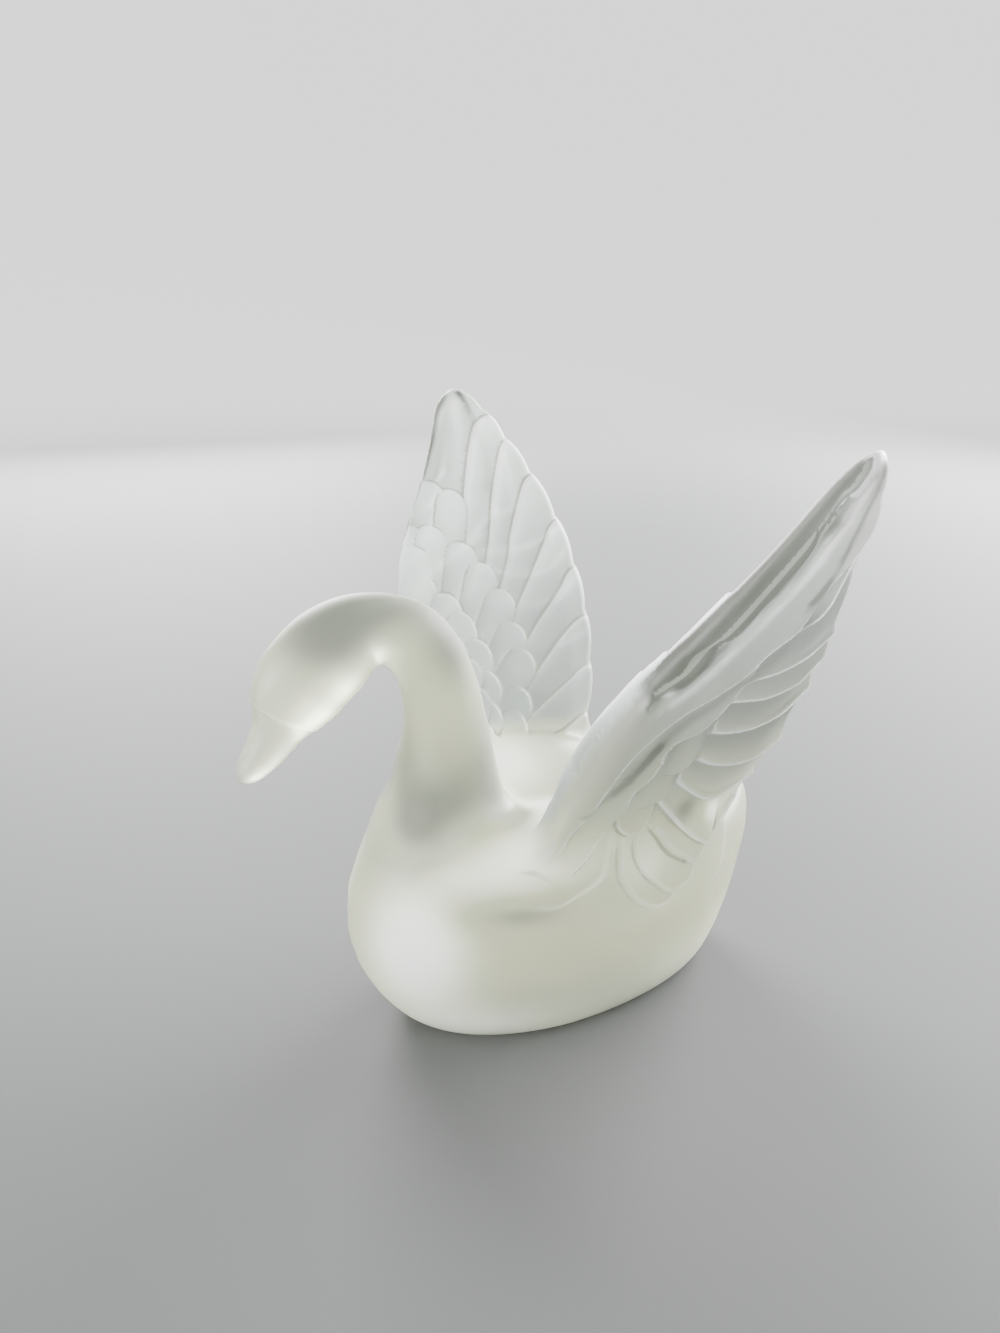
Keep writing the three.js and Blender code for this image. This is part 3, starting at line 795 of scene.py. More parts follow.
class Feathers:
    """Charts of the feather relief on both faces of a wing, over y and z of its sheet."""

    def __init__(self, wing: WingSizes, sizes: FeatherSizes) -> None:
        """Lay all feathers.

        Args:
            wing: The wing's own sizes.
            sizes: The feathers' places and heights.
        """
        self.wing = wing
        self.sizes = sizes
        self.inner = Chart(*sizes.wing_chart, sizes.step)
        self.outer = Chart(*sizes.wing_chart, sizes.step)
        self.flank = Chart(*sizes.flank_chart, sizes.step)
        y = self.inner.y - wing.fan_centre[0]
        z = self.inner.z - wing.fan_centre[1]
        self.reach = np.hypot(y, z)
        self.angle = np.degrees(np.arctan2(z, y))
        self.lay_flight_feathers()
        self.lay_scales()
        self.lay_outer_feathers()
        self.lay_bands()
        self.lay_flank_feathers()
        self.tones = np.zeros_like(self.outer.heights)
        # Strength of each painted stripe: below 0 painted shade, above 0 painted highlight.
        for stripe in sizes.stripes:
            gap, _ = distance_to_path(rounded_path(stripe.points), self.outer.y, self.outer.z)
            self.tones += stripe.tone * hump(gap, 0.0, stripe.half_width)

    def to_plane(self, reach: float, angle: float) -> Pair:
        """Turn reach and angle about the fan centre into y and z.

        Args:
            reach: Distance from the fan centre.
            angle: Degrees above the level.

        Returns:
            The place's y and z.
        """
        turn = math.radians(angle)
        centre = self.wing.fan_centre
        return centre[0] + reach * math.cos(turn), centre[1] + reach * math.sin(turn)

    def lay_flight_feathers(self) -> None:
        """Lay the long feathers of the inner face, each one over the feather above it."""
        sizes = self.sizes
        chart = self.inner
        chart.heights += sizes.inner_base
        for points in sizes.flight_edges:
            start = (points[0][0] * sizes.flight_start, points[0][1])
            path = rounded_path([self.to_plane(*p) for p in (start, *points)])
            gap, side = distance_to_path(run_on(path, tail=sizes.flight_run_on), chart.y, chart.z)
            below = -gap * side
            along = self.reach / points[-1][0]
            full = mix(sizes.flight_low_share, 1.0, smoothstep(*sizes.flight_rise_reach, along))
            rise = sizes.flight_rise * full * np.exp(-np.clip(below, 0.0, None) / sizes.flight_fall)
            bead = sizes.flight_bead * hump(below, *sizes.flight_bead_place)
            chart.lay(below, sizes.flight_base + rise + bead, sizes.edge)

    def lay_scales(self) -> None:
        """Lay the short round-tipped feathers of the inner face, row over row to the root."""
        sizes = self.sizes
        for row, tips in enumerate(sizes.scale_rows):
            for reach, angle in tips:
                behind = reach - self.reach
                across = np.radians(self.angle - angle) * self.reach
                past = np.clip(sizes.scale_round - behind, 0.0, None) / sizes.scale_round
                share = np.sqrt((across / sizes.scale_half_width) ** 2 + past**2)
                inside = np.minimum((1.0 - share) * sizes.scale_half_width, sizes.scale_length - behind)
                slope = smoothstep(sizes.scale_length, 0.0, behind)
                top = sizes.scale_rise * mix(sizes.scale_low_share, 1.0, slope)
                top = top + sizes.scale_row_lift * max(0, row - 1)
                crown = sizes.crown * np.clip(across / sizes.scale_half_width, -1.0, 1.0) ** 2
                self.inner.lay(inside, top - crown, sizes.edge)

    def lay_outer_feathers(self) -> None:
        """Lay the trailing feathers of the outer face, each lower edge over the next feather."""
        sizes = self.sizes
        chart = self.outer
        for points in sizes.outer_edges:
            path = run_on(rounded_path(points), sizes.outer_run_on, sizes.outer_run_on)
            gap, side = distance_to_path(path, chart.y, chart.z)
            above = gap * side
            rise = sizes.outer_rise * np.exp(-np.clip(above, 0.0, None) / sizes.outer_fall)
            bead = sizes.outer_bead * hump(above, *sizes.outer_bead_place)
            chart.lay(above, sizes.outer_base + rise + bead, sizes.edge)

    def lay_bands(self) -> None:
        """Lay the outer coverts, the strip and the long band, and cut the groove before it."""
        sizes = self.sizes
        chart = self.outer
        for root, tip, half_width in sizes.outer_coverts:
            round_length = half_width * sizes.outer_covert_round
            inside, behind, across = feather_shape(chart, root, tip, half_width, round_length)
            slope = smoothstep(sizes.outer_covert_slope, 0.0, behind)
            top = sizes.outer_covert_rise * mix(sizes.outer_covert_low_share, 1.0, slope)
            crown = sizes.crown * np.clip(across / half_width, -1.0, 1.0) ** 2
            chart.lay(inside, top - crown, sizes.edge)
        for edge in (sizes.strip_edge, sizes.band_edge):
            gap, side = distance_to_path(rounded_path(edge.points), chart.y, chart.z)
            above = -gap * side
            fall = np.exp(-np.clip(above, 0.0, None) / edge.fall)
            chart.lay(above, edge.rise * mix(edge.far_share, 1.0, fall), edge.step)
        gap, _ = distance_to_path(rounded_path(sizes.groove), chart.y, chart.z)
        chart.heights = chart.heights - sizes.groove_depth * hump(gap, 0.0, sizes.groove_width)
        behind = np.radians(Profile(self.wing.leading)(self.reach) - self.angle) * self.reach
        width = sizes.bevel_width * smoothstep(*sizes.bevel_reach, self.reach)
        cut = smoothstep(width + sizes.edge, width - sizes.edge, behind) * (width > sizes.edge)
        chart.heights = chart.heights - sizes.bevel_depth * cut

    def lay_flank_feathers(self) -> None:
        """Lay the rounded feathers on the flank, each one over the feather below it."""
        sizes = self.sizes
        chart = self.flank
        for edge in sizes.flank_edges:
            path = run_on(rounded_path(edge.points), sizes.flank_run_on, sizes.flank_run_on)
            gap, side = distance_to_path(path, chart.y, chart.z)
            inside = gap * side
            fall = np.exp(-np.clip(inside, 0.0, None) / edge.fall)
            bead = sizes.flank_bead * hump(inside, *sizes.flank_bead_place)
            chart.lay(inside, edge.rise * mix(edge.far_share, 1.0, fall) + bead, edge.step)
        gap, _ = distance_to_path(rounded_path(sizes.flank_groove), chart.y, chart.z)
        groove = sizes.flank_groove_depth * hump(gap, 0.0, sizes.groove_width)
        fade = smoothstep(*sizes.flank_fade, chart.z)
        chart.heights = (chart.heights - groove) * fade * smoothstep(*sizes.flank_front, chart.y)


class Wing:
    """The left wing: a thin curved blade that carries its feathers on both faces."""

    def __init__(self, sizes: WingSizes, feathers: FeatherSizes) -> None:
        """Prepare the blade's curves and the feather charts.

        Args:
            sizes: The wing's sizes.
            feathers: The feathers' sizes.
        """
        self.sizes = sizes
        self.sheet = Sheet()
        self.trailing = Profile(sizes.trailing)
        self.leading = Profile(sizes.leading)
        self.feathers = Feathers(sizes, feathers)
        self.flight_angles = [points[-2][1] for points in feathers.flight_edges]

    def rims(self, y: Array, z: Array) -> tuple[Array, Array]:
        """Measure how far a place of the sheet lies past the wing's two edges.

        Args:
            y: Place along the body.
            z: Height.

        Returns:
            Distance past the trailing edge and past the leading edge, negative inside.
        """
        sizes = self.sizes
        dy, dz = y - sizes.fan_centre[0], z - sizes.fan_centre[1]
        reach = np.hypot(dy, dz)
        angle = np.degrees(np.arctan2(dz, dy))
        end = self.trailing(angle)
        edges = [sizes.scallop_first, *self.flight_angles, sizes.scallop_last]
        for high, low in zip(edges[:-1], edges[1:]):
            across = (angle - low) / (high - low)
            inside = (across > 0.0) & (across <= 1.0)
            round_tip = 1.0 - (2.0 * across - 1.0) ** 2
            end = end + np.where(inside, sizes.scallop * (round_tip - 0.5), 0.0)
        behind = (reach - end) * sizes.trailing_slant
        turn = np.maximum(reach, sizes.least_reach)
        front = np.radians(angle - self.leading(reach)) * turn
        step_edge = sizes.edge_step_edge
        for tip in sizes.edge_steps:
            back = (tip - reach) / sizes.edge_step_length
            step = sizes.edge_step * smoothstep(-step_edge, step_edge, back)
            front = front - step * np.clip(1.0 - back, 0.0, 1.0)
        under = np.radians(sizes.low_angle - angle) * turn
        return behind, np.maximum(front, under)

    def distance(self, x: Array, y: Array, z: Array) -> Array:
        """Measure the distance to the wing.

        Args:
            x: Distance from the middle plane.
            y: Place along the body.
            z: Height.

        Returns:
            Distance in millimetres, negative inside.
        """
        sizes = self.sizes
        away, foot_y, foot_z = self.sheet.foot(x, y, z)
        behind, front = self.rims(foot_y, foot_z)
        reach = np.hypot(foot_y - sizes.fan_centre[0], foot_z - sizes.fan_centre[1])
        thick = smoothstep(sizes.root_reach, sizes.tip_reach, reach)
        half = mix(sizes.half_root, sizes.half_tip, thick)
        half = half * mix(sizes.rim_share, 1.0, smoothstep(0.0, sizes.rim_width, -behind))
        flush = mix(sizes.flush_share, 1.0, smoothstep(sizes.flush_low, sizes.flush_high, foot_z))
        half = half * mix(1.0, flush, smoothstep(-sizes.flush_turn, sizes.flush_turn, away))
        away = away + sizes.root_sink * (1.0 - smoothstep(sizes.sink_near, sizes.sink_far, reach))
        inner = self.feathers.inner.read(foot_y, foot_z)
        outer = self.feathers.outer.read(foot_y, foot_z)
        calm = smoothstep(*sizes.calm_front, -front) * smoothstep(*sizes.calm_behind, -behind)
        outer = outer * smoothstep(sizes.relief_near, sizes.relief_far, reach)
        outside = smoothstep(-sizes.relief_turn, sizes.relief_turn, away / half)
        relief = mix(inner * calm, outer * mix(sizes.calm_outer_share, 1.0, calm), outside)
        slab = np.abs(away) - half - relief
        outline = smooth_max(behind, front, sizes.tip_round)
        blade = smooth_max(slab, outline, sizes.edge_round)
        return smooth_max(blade, sizes.low_end - z, sizes.low_end_round)

    def relief(self, x: Array, y: Array, z: Array) -> Array:
        """Tell how high the feathers stand on the wing's two faces.

        Args:
            x: Distance from the middle plane, on either side.
            y: Place along the body.
            z: Height.

        Returns:
            Height of the relief in millimetres.
        """
        away, foot_y, foot_z = self.sheet.foot(np.abs(x), y, z)
        inner = self.feathers.inner.read(foot_y, foot_z)
        outer = self.feathers.outer.read(foot_y, foot_z)
        return np.where(away > 0.0, outer, inner)

    def face(self, x: Array, y: Array, z: Array) -> tuple[Array, Array]:
        """Tell which face of the wing a place is on, and how each painted stripe of shade and highlight runs.

        Args:
            x: Distance from the middle plane, on either side.
            y: Place along the body.
            z: Height.

        Returns:
            1 on the outer face or 0 on the inner one, and the strength of each painted stripe on the outer
            face.
        """
        sizes = self.sizes
        away, foot_y, foot_z = self.sheet.foot(np.abs(x), y, z)
        outer = smoothstep(-sizes.face_turn, sizes.face_turn, away)
        stripes = self.feathers.outer.read(foot_y, foot_z, self.feathers.tones)
        return outer, smoothstep(*sizes.stripe_depths, away) * stripes

    def joint(self, x: Array, y: Array, z: Array) -> tuple[Array, Array]:
        """Tell how the wing joins the body.

        Args:
            x: Distance from the middle plane.
            y: Place along the body.
            z: Height.

        Returns:
            Share of the outer side, and width of the fillet.
        """
        sizes = self.sizes
        away, foot_y, foot_z = self.sheet.foot(x, y, z)
        reach = np.hypot(foot_y - sizes.fan_centre[0], foot_z - sizes.fan_centre[1])
        outside = smoothstep(-sizes.joint_turn, sizes.joint_turn, away)
        widest = mix(sizes.blend_inside, sizes.blend_outside, outside)
        return outside, mix(sizes.blend_centre, widest, smoothstep(sizes.blend_near, sizes.blend_far, reach))


@dataclass(frozen=True)
class Swan:
    """The whole figurine as one solid: body, neck and a wing with its mirror image."""

    hull: Hull = field(default_factory=lambda: Hull(HullSizes()))
    neck: Neck = field(default_factory=lambda: Neck(NeckSizes()))
    wing: Wing = field(default_factory=lambda: Wing(WingSizes(), FeatherSizes()))
    # Distances from the body over which the wings lose its milky colour, outside and inside.
    wing_clears: float = 40.0
    inner_clears: float = 5.0
    # Distances from the middle plane between which the flank's feathers set in.
    flank_sides: Pair = (10.0, 16.0)
    bend_probe: float = 0.5

    def distance(self, x: Array, y: Array, z: Array) -> Array:
        """Measure the distance to the figurine's surface.

        Args:
            x: Distance from the middle plane, on either side.
            y: Place along the body.
            z: Height.

        Returns:
            Distance in millimetres, negative inside.
        """
        x = np.abs(x)
        body = self.hull.distance(x, y, z)
        body = smooth_min(body, self.neck.distance(x, y, z), self.neck.blend(y))
        outside, blend = self.wing.joint(x, y, z)
        whole = smooth_min(body, self.wing.distance(x, y, z), blend)
        whole = whole - self.wing.feathers.flank.read(y, z) * outside * smoothstep(*self.flank_sides, x)
        return np.maximum(whole, -z)

    def body_share(self, x: Array, y: Array, z: Array) -> Array:
        """Tell how much of a place belongs to the body and neck.

        Args:
            x: Distance from the middle plane, on either side.
            y: Place along the body.
            z: Height.

        Returns:
            1 on the body and neck, 0 out on the wings.
        """
        x = np.abs(x)
        body = np.minimum(self.hull.distance(x, y, z), self.neck.distance(x, y, z))
        outside, _ = self.wing.joint(x, y, z)
        return 1.0 - smoothstep(0.0, mix(self.inner_clears, self.wing_clears, outside), body)

    def bend(self, x: Array, y: Array, z: Array) -> Array:
        """Measure how the surface bends around each place.

        Args:
            x: Distance from the middle plane, on either side.
            y: Place along the body.
            z: Height.

        Returns:
            Above 0 on rims and ridges, below 0 in creases.
        """
        probe = self.bend_probe
        around = np.zeros(len(x))
        slopes = np.zeros((3, len(x)))
        for axis, step in enumerate(np.eye(3) * probe):
            ahead = self.distance(x + step[0], y + step[1], z + step[2])
            back = self.distance(x - step[0], y - step[1], z - step[2])
            slopes[axis] = ahead - back
            around += ahead + back
        middle = 2.0 * len(slopes) * self.distance(x, y, z)
        return (around - middle) / (np.linalg.norm(slopes, axis=0) + TINY)


@dataclass(frozen=True)
class SurfaceNet:
    """Turns a distance function into a closed mesh of even cells."""

    step: float
    low: Triple = (0.0, -72.0, -3.0)
    high: Triple = (82.0, 68.0, 138.0)
    # Coarse blocks this near to the surface are measured again finely: in blocks, and in millimetres.
    coarse: int = 4
    near_blocks: float = 1.35
    near_margin: float = 1.2
    # How many places are measured at once.
    batch: int = 400000

    def sample(self, distance: Callable[[Array, Array, Array], Array]) -> tuple[Array, Array]:
        """Measure the distance at every place of a grid that mirrors itself over x = 0.

        Args:
            distance: The distance function.

        Returns:
            The grid of distances and the place of its first value.
        """
        block = self.step * self.coarse
        counts = [int(math.ceil((h - l) / block)) for l, h in zip(self.low, self.high)]
        axes = [l + block * (np.arange(n) + 0.5) for l, n in zip(self.low, counts)]
        rough = distance(*np.meshgrid(*axes, indexing="ij"))
        near = np.abs(rough) < block * self.near_blocks + self.near_margin
        grid = rough.astype(np.float32)
        for axis in range(3):
            grid = np.repeat(grid, self.coarse, axis=axis)
            near = np.repeat(near, self.coarse, axis=axis)
        cells = np.nonzero(near)
        places = [l + self.step * (c + 0.5) for l, c in zip(self.low, cells)]
        for start in range(0, len(cells[0]), self.batch):
            part = slice(start, start + self.batch)
            grid[tuple(c[part] for c in cells)] = distance(*(p[part] for p in places))
        whole = np.concatenate([grid[::-1], grid])
        first = np.array(self.low) + self.step * 0.5
        first[0] = -self.step * (counts[0] * self.coarse - 0.5)
        return whole, first

    def build(self, distance: Callable[[Array, Array, Array], Array]) -> tuple[Array, Array]:
        """Make the mesh.

        Args:
            distance: The distance function.

        Returns:
            Points in millimetres and quads that face outward.
        """
        grid, first = self.sample(distance)
        solid = grid < 0.0
        corners = [(i, j, k) for i in (0, 1) for j in (0, 1) for k in (0, 1)]
        size = np.array(grid.shape) - 1
        windows = {c: tuple(slice(o, o + n) for o, n in zip(c, size)) for c in corners}
        mixed = np.zeros(tuple(size), dtype=bool)
        for corner in corners[1:]:
            mixed |= solid[windows[corner]] != solid[windows[corners[0]]]
        cells = np.argwhere(mixed)
        values = {c: grid[windows[c]][mixed] for c in corners}
        total = np.zeros((len(cells), 3))
        count = np.zeros(len(cells))
        for axis in range(3):
            for corner in corners:
                if corner[axis]:
                    continue
                other = tuple(1 if a == axis else c for a, c in enumerate(corner))
                crossed = (values[corner] < 0.0) != (values[other] < 0.0)
                gap = np.where(crossed, values[corner] - values[other], 1.0)
                place = np.tile(np.array(corner, dtype=float), (len(cells), 1))
                place[:, axis] = values[corner] / gap
                total += place * crossed[:, None]
                count += crossed
        points = (total / count[:, None] + cells) * self.step + first
        return points, self.quads(solid, mixed, len(cells))

    def quads(self, solid: Array, mixed: Array, count: int) -> Array:
        """Join the points of neighbouring cells.

        Args:
            solid: Which places of the grid are inside.
            mixed: Which cells hold a point.
            count: How many points there are.

        Returns:
            Four point numbers for each face, in an order that faces outward.
        """
        number = np.full(mixed.shape, -1, dtype=np.int64)
        number[mixed] = np.arange(count)
        faces = []
        for axis, (u, v) in enumerate(((1, 2), (2, 0), (0, 1))):
            low = [slice(None)] * 3
            high = [slice(None)] * 3
            low[axis], high[axis] = slice(0, -1), slice(1, None)
            inside = solid[tuple(low)]
            edges = np.argwhere(inside != solid[tuple(high)])
            facing = inside[tuple(edges.T)]
            ring = []
            for du, dv in ((1, 1), (0, 1), (0, 0), (1, 0)):
                cell = edges.copy()
                cell[:, u] -= du
                cell[:, v] -= dv
                ring.append(number[tuple(cell.T)])
            face = np.stack(ring, axis=1)
            faces.append(np.where(facing[:, None], face, face[:, ::-1]))
        return np.concatenate(faces)


@dataclass(frozen=True)
class Settling:
    """How points near the surface are moved onto it, in millimetres."""

    rounds: int = 2
    probe: float = 0.05
    least_slope: float = 0.2
    longest_move: float = 0.3
    # Points below this height lie on the flat foot.
    foot_height: float = 0.12

    def settle(self, points: Array, distance: Callable[[Array, Array, Array], Array]) -> Array:
        """Move points onto the surface.

        Args:
            points: Points near the surface, one row each.
            distance: The distance function.

        Returns:
            The corrected points.
        """
        for _ in range(self.rounds):
            here = distance(*points.T)
            ahead = [distance(*(points + step).T) for step in np.eye(3) * self.probe]
            slope = np.stack([there - here for there in ahead], axis=1) / self.probe
            move = slope * (here / np.maximum((slope**2).sum(axis=1), self.least_slope))[:, None]
            length = np.linalg.norm(move, axis=1)
            move *= np.minimum(1.0, self.longest_move / np.maximum(length, TINY))[:, None]
            points = points - move
        points[:, 2] = np.where(points[:, 2] < self.foot_height, 0.0, points[:, 2])
        return points


class Mark(Enum):
    """Numbers that the mesh carries at its points for the finish."""

    BODY = "body"
    BEND = "bend"
    RELIEF = "relief"
    TONE = "tone"
    OUTER = "outer"
    STRIPES = "stripes"


class Sum(Enum):
    """What is done with two numbers of a finish."""

    ADD = "ADD"
    SUBTRACT = "SUBTRACT"
    MULTIPLY = "MULTIPLY"


class Wire:
    """A number in a material that works in ordinary expressions."""

    def __init__(self, board: "Board", socket: bpy.types.NodeSocket) -> None:
        """Wrap a socket.

        Args:
            board: The material's nodes.
            socket: The output that carries the number.
        """
        self.board = board
        self.socket = socket

    def apply(self, operation: Sum, first: "Number", second: "Number") -> "Wire":
        """Combine two numbers.

        Args:
            operation: What to do with them.
            first: First number.
            second: Second number.

        Returns:
            The result.
        """
        node = self.board.node("ShaderNodeMath", {"operation": operation.value}, {0: first, 1: second})
        return Wire(self.board, node.outputs[0])

    def __add__(self, other: "Number") -> "Wire":
        """Add a number."""
        return self.apply(Sum.ADD, self, other)

    __radd__ = __add__

    def __mul__(self, other: "Number") -> "Wire":
        """Multiply by a number."""
        return self.apply(Sum.MULTIPLY, self, other)

    __rmul__ = __mul__

    def __sub__(self, other: "Number") -> "Wire":
        """Take a number away."""
        return self.apply(Sum.SUBTRACT, self, other)

    def __rsub__(self, other: "Number") -> "Wire":
        """Take this from a number."""
        return self.apply(Sum.SUBTRACT, other, self)


Number = Wire | float


class Board:
    """Adds nodes to a material's tree."""

    def __init__(self, tree: bpy.types.NodeTree) -> None:
        """Clear the tree.

        Args:
            tree: The material's tree.
        """
        self.tree = tree
        tree.nodes.clear()

    def node(
        self,
        kind: str,
        settings: dict[str, object] | None = None,
        inputs: dict[int | str, object] | None = None,
    ) -> bpy.types.Node:
        """Add a node.

        Args:
            kind: The node's type.
            settings: Its plain settings.
            inputs: Values, sockets or wires for its inputs.

        Returns:
            The node.
        """
        node = self.tree.nodes.new(kind)
        for name, value in (settings or {}).items():
            setattr(node, name, value)
        for name, value in (inputs or {}).items():
            if isinstance(value, Wire):
                value = value.socket
            if isinstance(value, bpy.types.NodeSocket):
                self.tree.links.new(value, node.inputs[name])
            else:
                node.inputs[name].default_value = value
        return node

    def height(self, place: bpy.types.NodeSocket) -> Wire:
        """Read how high a place lies.

        Args:
            place: The place.

        Returns:
            Its z.
        """
        return Wire(self, self.node("ShaderNodeSeparateXYZ", inputs={"Vector": place}).outputs["Z"])

    def attribute(self, mark: Mark) -> Wire:
        """Read a number that the mesh carries at its points.

        Args:
            mark: Which number.

        Returns:
            The number.
        """
        return Wire(self, self.node("ShaderNodeAttribute", {"attribute_name": mark.value}).outputs["Fac"])

    def noise(self, place: bpy.types.NodeSocket, scale: float, detail: float) -> Wire:
        """Make an uneven pattern.

        Args:
            place: Where it is read.
            scale: How many grains it has along a metre.
            detail: How finely they break up.

        Returns:
            The pattern, around a half.
        """
        node = self.node("ShaderNodeTexNoise", inputs={"Vector": place, "Scale": scale, "Detail": detail})
        return Wire(self, node.outputs["Fac"])

    def ramp(self, value: Wire, low: float, high: float) -> Wire:
        """Ease from 0 to 1 between two values.

        Args:
            value: The value to ease.
            low: Where the result is 0.
            high: Where the result is 1.

        Returns:
            The eased share.
        """
        node = self.node(
            "ShaderNodeMapRange",
            {"interpolation_type": "SMOOTHSTEP"},
            {"Value": value, "From Min": low, "From Max": high},
        )
        return Wire(self, node.outputs["Result"])

    def mix_colour(self, share: Wire, first: object, second: object) -> bpy.types.NodeSocket:
        """Blend two colours.

        Args:
            share: How far to go from the first to the second.
            first: Colour or socket at 0.
            second: Colour or socket at 1.

        Returns:
            The blended colour's socket.
        """
        solid = [(*c, 1.0) if isinstance(c, tuple) else c for c in (first, second)]
        node = self.node(
            "ShaderNodeMix", {"data_type": "RGBA"}, {"Factor": share, "A": solid[0], "B": solid[1]}
        )
        return node.outputs["Result"]


@dataclass(frozen=True)
class Melt:
    """How frosted, clear, milky and shiny one part of the glass is; the milk's depth is in metres."""

    roughness: float
    transmission: float
    milk: float
    milk_depth: float
    shine: float = 0.5


@dataclass(frozen=True)
class Glass:
    """Satin-frosted cast glass: milky cream in the thick body, greyer and clearer in the wings."""

    body_colour: Triple = (0.72, 0.74, 0.57)
    # Colours of the inner and the outer face, low and high, and the heights between which they change: partly
    # the wings' greyer glass, partly painted light, as the high outer face is painted dark grey as shade
    # against the pale inner face, and the low inner face, between the wings, darker as painted shade.
    shaded_low_inner_colour: Triple = (0.40, 0.45, 0.445)
    high_inner_colour: Triple = (0.90, 0.97, 0.945)
    low_wing_colour: Triple = (0.62, 0.64, 0.46)
    shaded_high_outer_colour: Triple = (0.36, 0.362, 0.34)
    wing_heights: Pair = (0.06, 0.105)
    # Each painted stripe of the outer face, dark as shade and pale as highlight, and the painted shade and
    # glow of the spots.
    painted_stripe_shade_colour: Triple = (0.07, 0.072, 0.058)
    painted_stripe_highlight_colour: Triple = (0.97, 0.98, 0.95)
    painted_shade_colour: Triple = (0.17, 0.185, 0.15)
    painted_glow_colour: Triple = (0.985, 0.99, 0.93)
    # Painted shade in the troughs between the feathers: colour, strength and heights of the relief in
    # millimetres.
    painted_trough_shade_colour: Triple = (0.08, 0.085, 0.07)
    painted_trough_shade_share: float = 0.8
    painted_trough_shade_relief: Pair = (1.15, 0.1)
    # The painted shade in troughs and the painted highlights on rims are weaker on the inner face.
    inner_share: float = 0.45
    # Painted shade in creases and painted highlights on rims: colour, strength and how sharply the surface
    # bends there.
    painted_crease_shade_colour: Triple = (0.34, 0.36, 0.30)
    painted_crease_shade_share: float = 0.95
    painted_crease_shade_bends: Pair = (-0.04, -0.3)
    painted_rim_highlight_colour: Triple = (0.99, 0.99, 0.97)
    rim_share: float = 0.9
    painted_rim_highlight_bends: Pair = (0.08, 0.35)
    # Tones of a painted dark stripe over which the painted highlights on rims fade out.
    painted_rim_highlight_tones: Pair = (-0.2, -0.6)
    body: Melt = Melt(roughness=0.4, transmission=0.82, milk=0.9, milk_depth=0.03)
    outer: Melt = Melt(roughness=0.42, transmission=0.74, milk=0.45, milk_depth=0.004)
    inner: Melt = Melt(roughness=0.62, transmission=0.6, milk=0.7, milk_depth=0.004)
    # Glass under the spots of painted glow, and under the spots of painted shade, where it also shines less.
    glow_spot_melt: Melt = Melt(roughness=0.6, transmission=0.25, milk=0.95, milk_depth=0.03)
    shade_spot_melt: Melt = Melt(roughness=0.62, transmission=0.6, milk=0.8, milk_depth=0.02, shine=0.1)
    foot: Melt = Melt(roughness=0.6, transmission=0.3, milk=0.95, milk_depth=0.03)
    foot_heights: Pair = (0.026, 0.004)
    ior: float = 1.48
    milk_radius: Triple = (0.95, 1.0, 0.85)
    # The satin's grain.
    grain_scale: float = 1400.0
    grain_detail: float = 3.0
    grain_strength: float = 0.12
    grain_depth: float = 0.0001
    # Fine level ridges in the low flank: stretch of the pattern, its share and heights of its fading.
    ridge_stretch: Triple = (50.0, 50.0, 900.0)
    ridge_detail: float = 2.0
    ridge_share: float = 2.2
    ridge_heights: Pair = (0.04, 0.03)

    def material(self) -> bpy.types.Material:
        """Make the material: one kind of glass over the other, all in one colour and fine relief.

        Returns:
            The new material.
        """
        material = bpy.data.materials.new("frosted_glass")
        material.use_nodes = True
        board = Board(material.node_tree)
        place = board.node("ShaderNodeTexCoord").outputs["Object"]
        tone = board.attribute(Mark.TONE)
        colour = self.colour(board, place, tone)
        bump = self.bump(board, place)
        layers = (
            (board.attribute(Mark.OUTER), self.outer),
            (board.attribute(Mark.BODY), self.body),
            # Glass under the spots of painted glow and of painted shade.
            (board.ramp(tone, 0.0, 1.0), self.glow_spot_melt),
            (board.ramp(tone, 0.0, -1.0), self.shade_spot_melt),
            (board.ramp(board.height(place), *self.foot_heights), self.foot),
        )
        whole = self.shader(board, self.inner, colour, bump)
        for share, melt in layers:
            layer = self.shader(board, melt, colour, bump)
            whole = board.node("ShaderNodeMixShader", inputs={0: share, 1: whole, 2: layer}).outputs[0]
        board.node("ShaderNodeOutputMaterial", inputs={"Surface": whole})
        return material

    def colour(self, board: Board, place: bpy.types.NodeSocket, tone: Wire) -> bpy.types.NodeSocket:
        """Colour the whole swan, with painted shade in troughs, creases, dark stripe bands and shade spots,
        and painted highlights and glow on rims, pale stripe bands and glow spots.

        Args:
            board: The material's nodes.
            place: The place on the swan.
            tone: The painted shading, below 0 painted shade and above 0 painted glow.

        Returns:
            The colour.
        """
        outer = board.attribute(Mark.OUTER)
        stripes = board.attribute(Mark.STRIPES)
        bend = board.attribute(Mark.BEND)
        strength = outer * (1.0 - self.inner_share) + self.inner_share
        wings = self.wing_colour(board, board.ramp(board.height(place), *self.wing_heights), outer)
        # Painted shade in the troughs, darkest where the relief is low.
        trough_shade_mask = board.ramp(board.attribute(Mark.RELIEF), *self.painted_trough_shade_relief) * self.painted_trough_shade_share
